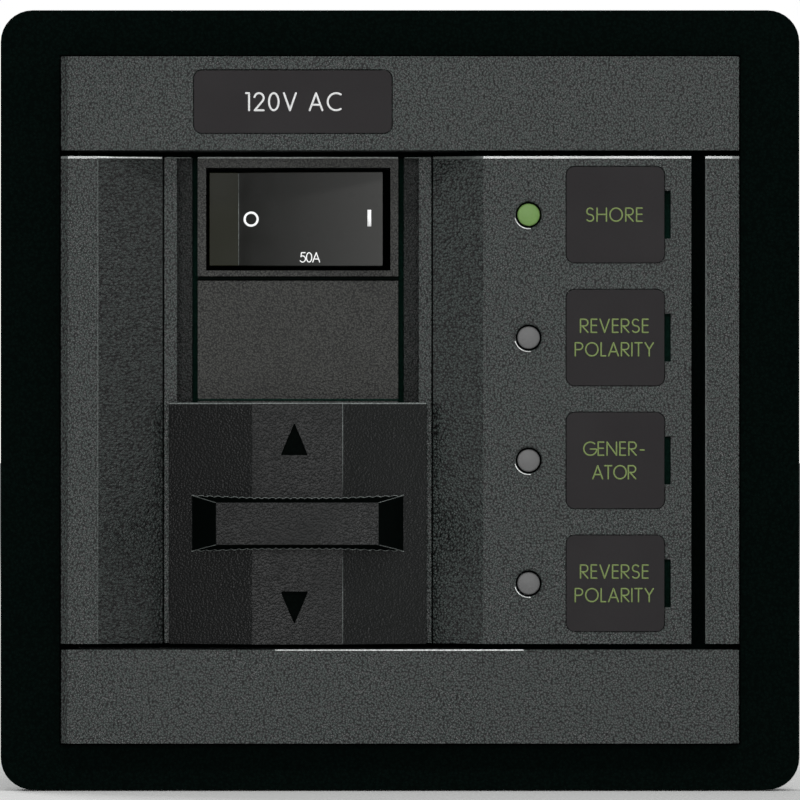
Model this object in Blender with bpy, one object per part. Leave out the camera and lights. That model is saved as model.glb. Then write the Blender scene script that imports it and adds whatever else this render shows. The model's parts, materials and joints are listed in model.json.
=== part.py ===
"""Flush-mounted AC source selector panel: two double-pole rocker breakers behind a sliding
lockout plate, beside four indicator lamps.  X runs to the right along the panel, Z up it and
Y into the bulkhead, whose front surface is the plane Y = 0.  Sizes below are in millimetres."""
import math

import bmesh
import bpy

MM = 0.001
CLEAR = 0.3                       # gap kept between neighbouring pieces

# Driving dimensions
POLE = 19.05                      # height of one breaker pole
PANEL_WIDTH = 125.0
PANEL_HEIGHT = 122.0
CORNER_RADIUS = 5.0
WALL = 1.8                        # wall of the moulded covers

# Depths, front to back
GRIP_Y = -18.0                    # front of the slide's finger grip
SLIDE_Y = -13.0                   # front of the slide's raised centre
FACE_Y = -12.5                    # front of the rails, side trims and indicator module
BEZEL_Y = -9.5                    # front of the outer bezel
VALLEY_Y = -8.1                   # carrier lips and foot of the sloped facets
BREAKER_Y = -6.6                  # breaker faces
SHELF_Y = -4.3                    # front of the carrier plate, floor of the slide grooves
PLATE_BACK_Y = -2.7
LEDGE_Y = -2.4                    # front of the bezel's inner ledge
CASE_Y = -2.2                     # front of the breakers' wide bodies
CASE_BACK_Y = 42.0
STUD_END_Y = 52.0

# Heights
FIELD_Z = 2 * POLE                # half the height of the middle field: four poles in all
RAIL_GAP = 0.9
RAIL_Z = FIELD_Z + RAIL_GAP
FIELD_EDGE_Z = 53.7               # outer edge of the rails
LEDGE_Z = 43.0                    # half height of the hole in the bezel's ledge
PLATE_Z = 50.5                    # half height of the carrier and the indicator back cover

# Stations across the panel
FIELD_EDGE_X = 53.0
EDGE_BEVEL = (1.1, 0.9)           # bevel along the outer ends of the rails and side trims
LEDGE_X = 47.0
PLATE_X = 50.5
LEFT_RIDGE_X = -47.2
BREAKER_X = -16.0                 # middle of the breakers, the carrier and the slide
FACE_HALF = 15.72                 # breaker face
HOLE_HALF = 16.55                 # hole in the carrier around the faces
GROOVE_HALF = 18.9                # outer edge of the grooves that the slide runs in
CARRIER_HALF = 20.95
WING_RIGHT_X = 9.3
INDICATOR_X = 5.2
RIGHT_RIDGE_X = 13.0
INDICATOR_EDGE_X = 45.5
RIGHT_TRIM_X = 47.7

# Breaker bodies
CASE_X = (-42.0, 10.0)
CASE_WALL = 1.6
POLE_GAP = 0.15                   # joint between the mouldings of one breaker
DIVIDER = 0.4
ROCKER_PIVOT = (-16.2, -2.0)
ROCKER_Z = (20.95, 35.65)         # above the foot of its breaker
RECESS_X = (-30.4, -1.5)
RECESS_Z = (20.3, 36.4)
TRUNNION_R = 1.2
CROSSBAR = (-16.0, 12.0)
CROSSBAR_R = 2.0
ARM_LENGTH = 17.0
LINE_STUD_X = 1.0
LOAD_STUD_X = -34.0
STUD_R = 2.4
STRAP = 1.6
STRAP_WIDTH = 8.0
STRAP_FOOT_Y = 38.0               # back of the straps, just inside the case
NUT_R = 4.4
COIL_X = -29.0
COIL_Y = (10.6, 32.4)
COIL_R = 5.6
COIL_FLANGE = 7.0, 1.8            # radius and thickness
COIL_BORE = 2.6

# Indicator module and the inserts
PITCH = 19.2
ROW_Z = 0.15
LAMP_X = 20.1
LENS_R = 1.85
LEGEND_X = (26.0, 41.3)
LEGEND_HEIGHT = 15.0
INSERT_RADIUS = 1.4
INSERT = 0.8
POCKET = 1.1
INSERT_GAP = 0.15
PRY_SLOT = (1.0, 7.5)
TITLE_X = (-32.2, -1.3)
TITLE_Z = (41.7, 51.5)
BOARD_Y = (-8.4, -6.8)
FACE_WALL = 2.0

# Sliding lockout plate
SLIDE_Z = (-38.2, -0.35)
FLANGE = 1.2
SLIDE_WALL = 1.4
SLIDE_HALF = 20.15                # its edges leave a strip of each carrier lip in sight
FLAT_HALF = 7.05
GRIP_HALF = (16.55, 12.65)        # half length at its foot and at its front
GRIP_HEIGHT = (8.9, 6.6)
GRIP_BOW = 0.4
LEG = 1.15                        # thickness of the legs that run in the carrier's grooves
TOE = 1.1                         # reach of their toes under the carrier's lips
TOE_Y = (-6.8, -5.6)

# Screws: (head radius, head height), shank radius, tip
MOUNTING_SCREW = (3.7, 2.2), 2.0, 14.0
BREAKER_SCREW = (1.95, 1.2), 1.25, 1.5
INDICATOR_SCREW = (2.5, 1.6), 1.15, -9.3
SCREW_CLEAR = 0.35                # radial clearance of a screw in its hole

# Colour, roughness, metallic
FINISHES = {
    "bezel_plastic": ((0.003, 0.005, 0.004), 0.5, 0.0),
    "textured_plastic": ((0.055, 0.06, 0.058), 0.6, 0.0),
    "slide_plastic": ((0.03, 0.032, 0.031), 0.45, 0.0),
    "breaker_plastic": ((0.042, 0.044, 0.041), 0.5, 0.0),
    "rocker_plastic": ((0.03, 0.03, 0.026), 0.25, 0.0),
    "insert_plastic": ((0.028, 0.026, 0.027), 0.4, 0.0),
    "green_lens": ((0.15, 0.4, 0.08), 0.2, 0.0),
    "grey_lens": ((0.2, 0.2, 0.2), 0.3, 0.0),
    "lamp_chip": ((0.8, 0.75, 0.5), 0.4, 0.0),
    "circuit_board": ((0.02, 0.12, 0.05), 0.4, 0.0),
    "screw_steel": ((0.5, 0.5, 0.5), 0.35, 1.0),
    "copper": ((0.75, 0.38, 0.2), 0.35, 1.0),
    "brass": ((0.7, 0.52, 0.22), 0.3, 1.0),
    "coil_enamel": ((0.45, 0.16, 0.05), 0.4, 0.3),
    "fibre_board": ((0.06, 0.05, 0.04), 0.7, 0.0),
}


def clear_scene():
    for old in list(bpy.data.objects):
        bpy.data.objects.remove(old, do_unlink=True)


def finish_material(name):
    """The named material, made the first time it is asked for."""
    if name in bpy.data.materials:
        return bpy.data.materials[name]
    colour, roughness, metallic = FINISHES[name]
    material = bpy.data.materials.new(name)
    material.use_nodes = True
    shader = material.node_tree.nodes["Principled BSDF"]
    shader.inputs["Base Color"].default_value = (*colour, 1.0)
    shader.inputs["Roughness"].default_value = roughness
    shader.inputs["Metallic"].default_value = metallic
    return material


# --- shapes ------------------------------------------------------------------------------

def prism(outline, span, axis):
    """A closed solid: an outline in the plane across one axis, run along it over a span.
    Points are (x, y) for axis Z, (x, z) for axis Y and (y, z) for axis X."""
    place = {
        "X": lambda u, v, w: (w, u, v),
        "Y": lambda u, v, w: (u, w, v),
        "Z": lambda u, v, w: (u, v, w),
    }[axis]
    shape = bmesh.new()
    ends = []
    for w in span:
        corners = [shape.verts.new([MM * c for c in place(u, v, w)]) for u, v in outline]
        ends.append(shape.faces.new(corners))
    count = len(outline)
    low, high = (list(end.verts) for end in ends)
    for i in range(count):
        j = (i + 1) % count
        shape.faces.new((low[i], low[j], high[j], high[i]))
    bmesh.ops.recalc_face_normals(shape, faces=shape.faces)
    mesh = bpy.data.meshes.new("shape")
    shape.to_mesh(mesh)
    shape.free()
    piece = bpy.data.objects.new("shape", mesh)
    bpy.context.collection.objects.link(piece)
    return piece


def block(x, y, z):
    """A rectangular solid from three (low, high) pairs."""
    corners = [(x[0], z[0]), (x[1], z[0]), (x[1], z[1]), (x[0], z[1])]
    return prism(corners, y, "Y")


def arc(centre, radius, start, end, steps):
    """Points along an arc, angles in degrees."""
    points = []
    for i in range(steps + 1):
        angle = math.radians(start + (end - start) * i / steps)
        points.append((centre[0] + radius * math.cos(angle), centre[1] + radius * math.sin(angle)))
    return points


def rounded(x, z, radius, steps=5):
    """The outline of a rectangle with rounded corners."""
    outline = []
    corners = [(x[1], z[1], -1, -1), (x[0], z[1], 1, -1), (x[0], z[0], 1, 1), (x[1], z[0], -1, 1)]
    for turn, (cx, cz, inward_x, inward_z) in enumerate(corners):
        centre = (cx + inward_x * radius, cz + inward_z * radius)
        outline += arc(centre, radius, 90 * turn, 90 * turn + 90, steps)
    return outline


def round_bar(centre, radius, span, axis, sides=20):
    """A cylinder whose centre is a point in the plane across its axis."""
    return prism(arc(centre, radius, 0, 360, sides)[:-1], span, axis)


def combine(piece, tool, operation):
    """Cut a tool out of a piece, or join it on, and drop the tool."""
    change = piece.modifiers.new("combine", "BOOLEAN")
    change.operation = operation
    change.solver = "EXACT"
    change.object = tool
    ready = bpy.context.evaluated_depsgraph_get()
    mesh = bpy.data.meshes.new_from_object(piece.evaluated_get(ready))
    piece.modifiers.clear()
    piece.data = mesh
    bpy.data.objects.remove(tool, do_unlink=True)


def cut(piece, *tools):
    for tool in tools:
        combine(piece, tool, "DIFFERENCE")


def join(piece, *tools):
    for tool in tools:
        combine(piece, tool, "UNION")


def node(piece, name, finish, axis_point=(0.0, 0.0, 0.0)):
    """Name a piece, give it its finish, and put its origin on its joint's axis."""
    piece.name = name
    piece.data.name = name
    piece.data.materials.clear()
    piece.data.materials.append(finish_material(finish))
    offset = [MM * c for c in axis_point]
    for vertex in piece.data.vertices:
        vertex.co = [c - o for c, o in zip(vertex.co, offset)]
    piece.location = offset
    piece.data.shade_smooth()
    piece.data.set_sharp_from_angle(angle=math.radians(30))
    return piece


def about(centre, half):
    return centre - half, centre + half


def grown(span, amount):
    return span[0] - amount, span[1] + amount


# --- bezel, rails and side trims ---------------------------------------------------------

def screw_places():
    """The four corner screws, under the rails."""
    return [(x, z) for z in (48.0, -48.0) for x in (-46.0, 46.0)]


def screw_hole(place, size, span, sides=20):
    """The tool for a clearance hole around a screw of one of the sizes above."""
    return round_bar(place, size[1] + SCREW_CLEAR, span, "Y", sides)


def mounting_bezel():
    outline = rounded(about(0, PANEL_WIDTH / 2), about(0, PANEL_HEIGHT / 2), CORNER_RADIUS, 8)
    bezel = prism(outline, (BEZEL_Y, 0.0), "Y")
    opening_x = about(0, FIELD_EDGE_X + 0.25)
    opening_z = about(0, FIELD_EDGE_Z + 0.25)
    cut(bezel, block(opening_x, (BEZEL_Y - 1, LEDGE_Y), opening_z))
    cut(bezel, block(about(0, LEDGE_X), (LEDGE_Y - 1, 1.0), about(0, LEDGE_Z)))
    for place in screw_places():
        cut(bezel, screw_hole(place, MOUNTING_SCREW, (LEDGE_Y - 1, 1.0)))
    return node(bezel, "mounting_bezel", "bezel_plastic")


def rail(name, side):
    """A hollow cover over the modules' tabs and screws; side is 1 for the top, -1 for the
    bottom."""
    bevel_x, bevel_y = EDGE_BEVEL
    edge = FIELD_EDGE_X
    outline = [
        (-edge, PLATE_BACK_Y), (-edge, FACE_Y + bevel_y), (-edge + bevel_x, FACE_Y),
        (edge - bevel_x, FACE_Y), (edge, FACE_Y + bevel_y), (edge, PLATE_BACK_Y),
    ]
    span = sorted((side * RAIL_Z, side * FIELD_EDGE_Z))
    cover = prism(outline, span, "Z")
    inner_x = about(0, edge - WALL)
    inner_y = (FACE_Y + FACE_WALL, PLATE_BACK_Y + 1)
    inner_z = sorted((side * (RAIL_Z + WALL), side * (FIELD_EDGE_Z - WALL)))
    cut(cover, block(inner_x, inner_y, inner_z))
    step_z = sorted((side * (RAIL_Z - 1), side * (RAIL_Z + WALL + 0.5)))
    cut(cover, block(inner_x, (SHELF_Y - CLEAR, PLATE_BACK_Y + 1), step_z))
    if side > 0:
        pocket = rounded(grown(TITLE_X, INSERT_GAP), grown(TITLE_Z, INSERT_GAP), INSERT_RADIUS)
        cut(cover, prism(pocket, (FACE_Y - 1, FACE_Y + POCKET), "Y"))
    return node(cover, name, "textured_plastic")


def insert_plate(name, x, z):
    """A legend plate that lies flush in its pocket."""
    outline = rounded(x, z, INSERT_RADIUS - INSERT_GAP)
    return node(prism(outline, (FACE_Y + 0.05, FACE_Y + 0.05 + INSERT), "Y"), name, "insert_plastic")


def left_side_trim():
    edge = -FIELD_EDGE_X
    bevel_x, bevel_y = EDGE_BEVEL
    inner = BREAKER_X - CARRIER_HALF - 0.25
    outline = [
        (edge, PLATE_BACK_Y), (edge, FACE_Y + bevel_y), (edge + bevel_x, FACE_Y),
        (LEFT_RIDGE_X, FACE_Y), (inner, VALLEY_Y),
        (inner, VALLEY_Y + WALL), (LEFT_RIDGE_X, FACE_Y + WALL), (edge + WALL, FACE_Y + WALL),
        (edge + WALL, PLATE_BACK_Y),
    ]
    return node(prism(outline, about(0, FIELD_Z), "Z"), "left_side_trim", "textured_plastic")


def right_side_trim():
    left = RIGHT_TRIM_X
    edge = FIELD_EDGE_X
    bevel_x, bevel_y = EDGE_BEVEL
    outline = [
        (left, SHELF_Y - CLEAR), (left, FACE_Y), (edge - bevel_x, FACE_Y), (edge, FACE_Y + bevel_y),
        (edge, PLATE_BACK_Y),
        (edge - WALL, PLATE_BACK_Y), (edge - WALL, FACE_Y + WALL), (left + WALL, FACE_Y + WALL),
        (left + WALL, SHELF_Y - CLEAR),
    ]
    return node(prism(outline, about(0, FIELD_Z), "Z"), "right_side_trim", "textured_plastic")


def pan_screw(name, place, head_y, size):
    """A cross-slot pan-head screw along Y, with the underside of its head at head_y."""
    (radius, height), shank, tip_y = size
    way = 1 if tip_y > head_y else -1
    screw = round_bar(place, radius, sorted((head_y - way * height, head_y)), "Y")
    join(screw, round_bar(place, shank, sorted((head_y - way * height / 2, tip_y)), "Y", 16))
    slot = (radius * 0.6, 0.4)
    slot_y = sorted((head_y - way * (height + 1), head_y - way * (height - 0.5)))
    cut(screw, block(about(place[0], slot[0]), slot_y, about(place[1], slot[1])))
    cut(screw, block(about(place[0], slot[1]), slot_y, about(place[1], slot[0])))
    return node(screw, name, "screw_steel")


def mounting_screws():
    for number, place in enumerate(screw_places(), 1):
        pan_screw(f"mounting_screw_{number}", place, SHELF_Y - CLEAR, MOUNTING_SCREW)


# --- breaker carrier and sliding lockout -------------------------------------------------

def lip(side):
    """One of the carrier's overhanging lips, which hold the slide's toes."""
    def at(half):
        return BREAKER_X + side * half
    lip_back = VALLEY_Y + 1.0
    outer = CARRIER_HALF
    outline = [
        (at(outer), SHELF_Y + 0.8), (at(outer), VALLEY_Y), (at(GROOVE_HALF), VALLEY_Y),
        (at(GROOVE_HALF), lip_back), (at(outer - 0.95), lip_back), (at(outer - 0.95), SHELF_Y + 0.8),
    ]
    return prism(outline, about(0, FIELD_Z), "Z")


def breaker_screw_places():
    """Each breaker is held at one end of each pole."""
    places = []
    for foot in (0.0, -FIELD_Z):
        places.append((BREAKER_X - 23.2, foot + 1.5 * POLE))
        places.append((BREAKER_X + 23.2, foot + 0.5 * POLE))
    return places


def breaker_carrier():
    plate = block((-PLATE_X, WING_RIGHT_X), (SHELF_Y, PLATE_BACK_Y), about(0, PLATE_Z))
    cut(plate, block(about(BREAKER_X, HOLE_HALF), (SHELF_Y - 1, 0.0), about(0, FIELD_Z + CLEAR)))
    join(plate, lip(-1), lip(1))
    for place in screw_places()[::2]:
        cut(plate, screw_hole(place, MOUNTING_SCREW, (SHELF_Y - 1, 0.0)))
    for place in breaker_screw_places():
        cut(plate, screw_hole(place, BREAKER_SCREW, (SHELF_Y - 1, 0.0), 16))
    return node(plate, "breaker_carrier", "textured_plastic")


def breaker_screws():
    for number, place in enumerate(breaker_screw_places(), 1):
        pan_screw(f"breaker_screw_{number}", place, SHELF_Y - CLEAR, BREAKER_SCREW)


def slide_section():
    """The right half of the slide's section, as (distance from the middle, y): along the
    underside to the leg, round the toe, and back over the outside."""
    flange_back = VALLEY_Y - CLEAR
    flange_front = flange_back - FLANGE
    leg = GROOVE_HALF - CLEAR
    leg_inside = leg - LEG
    return [
        (FLAT_HALF - 0.2, SLIDE_Y + SLIDE_WALL), (leg_inside, flange_front + 0.8),
        (leg_inside, TOE_Y[1]), (leg + TOE, TOE_Y[1]), (leg + TOE, TOE_Y[0]), (leg, TOE_Y[0]),
        (leg, flange_back), (SLIDE_HALF, flange_back), (SLIDE_HALF, flange_front),
        (FLAT_HALF, SLIDE_Y),
    ]


def slide_grip():
    """A bar with sloping ends and flanks; its long edges bow in towards the middle."""
    steps = 8
    centre_z = sum(SLIDE_Z) / 2
    shape = bmesh.new()
    rings = []
    for half, height, y in zip(GRIP_HALF, GRIP_HEIGHT, (SLIDE_Y + 3.0, GRIP_Y)):
        ring = []
        for edge in (1, -1):
            for i in range(steps + 1):
                t = edge * (1 - 2 * i / steps)
                bow = GRIP_BOW * (1 - t * t)
                z = centre_z + edge * (height / 2 - bow)
                ring.append(shape.verts.new([MM * c for c in (BREAKER_X + half * t, y, z)]))
        rings.append(ring)
    foot, front = rings
    shape.faces.new(foot)
    shape.faces.new(front)
    for i in range(len(foot)):
        j = (i + 1) % len(foot)
        shape.faces.new((foot[i], foot[j], front[j], front[i]))
    bmesh.ops.recalc_face_normals(shape, faces=shape.faces)
    mesh = bpy.data.meshes.new("grip")
    shape.to_mesh(mesh)
    shape.free()
    grip = bpy.data.objects.new("grip", mesh)
    bpy.context.collection.objects.link(grip)
    return grip


def slide_underside():
    """The space under the slide's shell, which the grip's foot must stay out of."""
    reach = GRIP_HALF[0] + 2
    flange_front = VALLEY_Y - CLEAR - FLANGE
    rise = (SLIDE_Y - flange_front) / (SLIDE_HALF - FLAT_HALF)
    shell = SLIDE_WALL / 2
    low_y = flange_front + rise * (SLIDE_HALF - reach) + shell
    outline = [
        (BREAKER_X - reach, 0.0), (BREAKER_X - reach, low_y), (BREAKER_X - FLAT_HALF, SLIDE_Y + shell),
        (BREAKER_X + FLAT_HALF, SLIDE_Y + shell), (BREAKER_X + reach, low_y), (BREAKER_X + reach, 0.0),
    ]
    return prism(outline, grown(SLIDE_Z, 1.0), "Z")


def lockout_slide():
    half = slide_section()
    outline = [(BREAKER_X + reach, y) for reach, y in half]
    outline += [(BREAKER_X - reach, y) for reach, y in reversed(half)]
    slide = prism(outline, SLIDE_Z, "Z")
    grip = slide_grip()
    cut(grip, slide_underside())
    join(slide, grip)
    return node(slide, "lockout_slide", "slide_plastic", (BREAKER_X, VALLEY_Y, sum(SLIDE_Z) / 2))


# --- breakers ----------------------------------------------------------------------------

def pole_span(foot, upper):
    """The height of one pole's moulding above the foot of its breaker."""
    middle = foot + FIELD_Z / 2
    half = DIVIDER / 2 + POLE_GAP
    if upper:
        return middle + half, foot + FIELD_Z - POLE_GAP
    return foot + POLE_GAP, middle - half


def pole_case(name, foot, upper):
    """A moulded cup, open towards the divider, with the breaker's face on a raised boss."""
    span = pole_span(foot, upper)
    case = block(CASE_X, (CASE_Y, CASE_BACK_Y), span)
    join(case, block(about(BREAKER_X, FACE_HALF), (BREAKER_Y, CASE_Y + 1), span))
    if upper:
        hollow_z = (span[0] - 1, span[1] - CASE_WALL)
    else:
        hollow_z = (span[0] + CASE_WALL, span[1] + 1)
    hollow_x = grown(CASE_X, -CASE_WALL)
    cut(case, block(hollow_x, (CASE_Y + CASE_WALL, CASE_BACK_Y - CASE_WALL), hollow_z))
    for stud_x in (LINE_STUD_X, LOAD_STUD_X):
        stud = (stud_x, foot + (1.5 if upper else 0.5) * POLE)
        cut(case, round_bar(stud, STUD_R + 0.4, (CASE_BACK_Y - 3, CASE_BACK_Y + 1), "Y"))
    for place in breaker_screw_places():
        if span[0] < place[1] < span[1]:
            cut(case, screw_hole(place, BREAKER_SCREW, (CASE_Y - 1, CASE_Y + 5), 16))
    if upper:
        cut_rocker_recess(case, foot)
    else:
        boss_hollow = block(about(BREAKER_X, FACE_HALF - CASE_WALL), (BREAKER_Y + CASE_WALL, 1.0), hollow_z)
        cut(case, boss_hollow)
    return node(case, name, "breaker_plastic")


def cut_rocker_recess(case, foot):
    recess_z = (foot + RECESS_Z[0], foot + RECESS_Z[1])
    cut(case, block(RECESS_X, (BREAKER_Y - 1, 1.0), recess_z))
    bearing = round_bar(ROCKER_PIVOT, TRUNNION_R + CLEAR, grown(recess_z, 0.75), "Z", 16)
    cut(case, bearing)


def pole_divider(name, foot):
    """The insulating plate between the two poles, with a hole for the crossbar."""
    middle = foot + FIELD_Z / 2
    span = about(middle, DIVIDER / 2)
    outline = [
        (CASE_X[0], CASE_Y), (BREAKER_X - FACE_HALF, CASE_Y), (BREAKER_X - FACE_HALF, BREAKER_Y + 0.5),
        (BREAKER_X + FACE_HALF, BREAKER_Y + 0.5), (BREAKER_X + FACE_HALF, CASE_Y), (CASE_X[1], CASE_Y),
        (CASE_X[1], CASE_BACK_Y), (CASE_X[0], CASE_BACK_Y),
    ]
    plate = prism(outline, span, "Z")
    cut(plate, round_bar(CROSSBAR, CROSSBAR_R + 0.5, grown(span, 1.0), "Z", 20))
    return node(plate, name, "fibre_board")


def rocker(name, foot):
    """A shallow rocker: a short facet at its pressed end and a long face that rises away from
    it in a slight hollow curve."""
    left, crease, right = -29.95, -25.3, -2.7
    low_y, high_y = -6.0, -9.0
    pivot_x, pivot_y = ROCKER_PIVOT
    outline = [(left, low_y), (crease, low_y)]
    steps = 8
    for i in range(1, steps + 1):
        t = i / steps
        sag = 0.25 * 4 * t * (1 - t)
        outline.append((crease + (right - crease) * t, low_y + (high_y - low_y) * t + sag))
    outline += [(right - 0.5, -5.2), (pivot_x + 4.0, pivot_y + 0.4)]
    outline += arc(ROCKER_PIVOT, 2.2, 20, 160, 6)
    outline += [(pivot_x - 4.0, pivot_y + 0.4), (left + 0.7, -4.4)]
    piece = prism(outline, (foot + ROCKER_Z[0], foot + ROCKER_Z[1]), "Z")
    trunnion_z = (foot + RECESS_Z[0] - 0.45, foot + RECESS_Z[1] + 0.45)
    join(piece, round_bar(ROCKER_PIVOT, TRUNNION_R, trunnion_z, "Z", 16))
    return node(piece, name, "rocker_plastic", (pivot_x, pivot_y, foot + sum(ROCKER_Z) / 2))


def crossbar(name, foot):
    span = (foot + 3.0, foot + FIELD_Z - 3.0)
    bar = round_bar(CROSSBAR, CROSSBAR_R, span, "Z")
    return node(bar, name, "fibre_board", (*CROSSBAR, foot + FIELD_Z / 2))


def contact_arm(name, foot, middle_z):
    """A blade with a hub around the crossbar and a contact tip, shown open."""
    hub_x, hub_y = CROSSBAR
    thickness = about(middle_z, 1.6)
    arm = round_bar(CROSSBAR, 2 * CROSSBAR_R, thickness, "Z")
    tip_x = hub_x + ARM_LENGTH
    wide = 1.8
    thin = 0.9
    blade = [(hub_x, hub_y - wide), (tip_x, hub_y - thin), (tip_x, hub_y + thin), (hub_x, hub_y + wide)]
    join(arm, prism(blade, thickness, "Z"))
    join(arm, block((tip_x - 3.0, tip_x), (hub_y - thin / 2, hub_y + wide), thickness))
    cut(arm, round_bar(CROSSBAR, CROSSBAR_R + CLEAR, grown(thickness, 1.0), "Z"))
    return node(arm, name, "copper", (*CROSSBAR, foot + FIELD_Z / 2))


def terminal_stud(stud_x, middle_z):
    """A threaded stud with its washer and nut, behind the case."""
    place = (stud_x, middle_z)
    stud = round_bar(place, STUD_R, (STRAP_FOOT_Y - STRAP / 2, STUD_END_Y), "Y", 16)
    join(stud, round_bar(place, NUT_R + 0.2, (CASE_BACK_Y + CLEAR, CASE_BACK_Y + 1.3), "Y"))
    nut = arc(place, NUT_R, 0, 360, 6)[:-1]
    join(stud, prism(nut, (CASE_BACK_Y + 1.0, CASE_BACK_Y + 4.6), "Y"))
    return stud


def line_terminal(name, middle_z):
    """A bent strap: the fixed contact at the front and the line stud at the back."""
    pad_y = CROSSBAR[1] + 6.6
    pad_x = CROSSBAR[0] + ARM_LENGTH - 4.2
    right = 6.5
    foot_front = STRAP_FOOT_Y - STRAP
    outline = [
        (pad_x, pad_y), (right, pad_y), (right, STRAP_FOOT_Y), (LINE_STUD_X - 3.5, STRAP_FOOT_Y),
        (LINE_STUD_X - 3.5, foot_front), (right - STRAP, foot_front),
        (right - STRAP, pad_y + STRAP), (pad_x, pad_y + STRAP),
    ]
    strap = prism(outline, about(middle_z, STRAP_WIDTH / 2), "Z")
    join(strap, terminal_stud(LINE_STUD_X, middle_z))
    return node(strap, name, "brass")


def load_terminal(name, middle_z):
    """The strap from the trip coil to the load stud."""
    left = LOAD_STUD_X - 4.2
    right = LOAD_STUD_X + 3.5
    top_y = 8.0
    outline = [
        (left, top_y), (left, STRAP_FOOT_Y), (right, STRAP_FOOT_Y), (right, STRAP_FOOT_Y - STRAP),
        (left + STRAP, STRAP_FOOT_Y - STRAP), (left + STRAP, top_y),
    ]
    strap = prism(outline, about(middle_z, STRAP_WIDTH / 2), "Z")
    join(strap, terminal_stud(LOAD_STUD_X, middle_z))
    return node(strap, name, "brass")


def trip_coil(name, middle_z):
    """The magnetic trip: a winding between two flanges, on a hollow former."""
    place = (COIL_X, middle_z)
    radius, thickness = COIL_FLANGE
    coil = round_bar(place, COIL_R, grown(COIL_Y, -thickness / 2), "Y", 24)
    join(coil, round_bar(place, radius, (COIL_Y[0], COIL_Y[0] + thickness), "Y", 24))
    join(coil, round_bar(place, radius, (COIL_Y[1] - thickness, COIL_Y[1]), "Y", 24))
    cut(coil, round_bar(place, COIL_BORE, grown(COIL_Y, 1.0), "Y", 16))
    return node(coil, name, "coil_enamel")


def breaker(prefix, foot):
    """One double-pole breaker; foot is the height of its lower edge."""
    pole_case(f"{prefix}_pole_a_case", foot, True)
    pole_divider(f"{prefix}_pole_divider", foot)
    pole_case(f"{prefix}_pole_b_case", foot, False)
    rocker(f"{prefix}_rocker", foot)
    crossbar(f"{prefix}_crossbar", foot)
    for pole, middle_z in (("a", foot + 1.5 * POLE), ("b", foot + 0.5 * POLE)):
        contact_arm(f"{prefix}_contact_arm_{pole}", foot, middle_z)
        line_terminal(f"{prefix}_line_terminal_{pole}", middle_z)
        load_terminal(f"{prefix}_load_terminal_{pole}", middle_z)
        trip_coil(f"{prefix}_trip_coil_{pole}", middle_z)


# --- indicator module --------------------------------------------------------------------

def rows():
    """The heights of the four indicator rows, top to bottom."""
    return [ROW_Z + PITCH * (1.5 - i) for i in range(4)]


def case_screw_places():
    middle = (INDICATOR_X + INDICATOR_EDGE_X) / 2 + 4
    return [(middle, 34.3), (middle, -34.3)]


def legend_z(row):
    return about(row, LEGEND_HEIGHT / 2)


def indicator_housing():
    """A cup, open at the back, with a sloped left facet, lamp holes and legend pockets."""
    wing = WING_RIGHT_X + 0.4
    back = SHELF_Y - CLEAR
    outline = [
        (INDICATOR_X, VALLEY_Y + WALL), (INDICATOR_X, VALLEY_Y), (RIGHT_RIDGE_X, FACE_Y),
        (INDICATOR_EDGE_X, FACE_Y), (INDICATOR_EDGE_X, back), (wing, back), (wing, VALLEY_Y + WALL),
    ]
    housing = prism(outline, about(0, FIELD_Z), "Z")
    inner = FACE_Y + FACE_WALL
    hollow = [
        (wing + WALL, back + 1), (wing + WALL, inner + 1.2), (RIGHT_RIDGE_X + 0.6, inner),
        (INDICATOR_EDGE_X - WALL, inner), (INDICATOR_EDGE_X - WALL, back + 1),
    ]
    cut(housing, prism(hollow, about(0, FIELD_Z - WALL), "Z"))
    for place in case_screw_places():
        join(housing, round_bar(place, 2.4, (inner - 0.5, back), "Y", 16))
        cut(housing, screw_hole(place, INDICATOR_SCREW, (inner + 0.8, back + 1), 12))
    for row in rows():
        cut(housing, round_bar((LAMP_X, row), LENS_R + CLEAR, (FACE_Y - 1, inner + 1), "Y", 24))
        pocket = rounded(grown(LEGEND_X, INSERT_GAP), grown(legend_z(row), INSERT_GAP), INSERT_RADIUS)
        cut(housing, prism(pocket, (FACE_Y - 1, FACE_Y + POCKET), "Y"))
        slot_x = (LEGEND_X[1] - 0.6, LEGEND_X[1] + PRY_SLOT[0])
        cut(housing, block(slot_x, (FACE_Y - 1, inner + 1), about(row, PRY_SLOT[1] / 2)))
    return node(housing, "indicator_housing", "textured_plastic")


def indicator_back_cover():
    plate = block((WING_RIGHT_X + CLEAR, PLATE_X), (SHELF_Y, PLATE_BACK_Y), about(0, PLATE_Z))
    for place in screw_places()[1::2]:
        cut(plate, screw_hole(place, MOUNTING_SCREW, (SHELF_Y - 1, 0.0)))
    for place in case_screw_places():
        cut(plate, screw_hole(place, INDICATOR_SCREW, (SHELF_Y - 1, 0.0), 12))
    cut(plate, block(connector_x(), (SHELF_Y - 1, 0.0), about(0, 6.0)))
    return node(plate, "indicator_back_cover", "bezel_plastic")


def connector_x():
    return about(case_screw_places()[0][0], 5.0)


def circuit_board():
    """The lamp board, with its wire header through the back cover."""
    board = block((12.6, 43.0), BOARD_Y, about(0, 31.5))
    join(board, block(grown(connector_x(), -1.0), (BOARD_Y[1] - 0.4, 0.5), about(0, 5.0)))
    return node(board, "indicator_circuit_board", "circuit_board")


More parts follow.
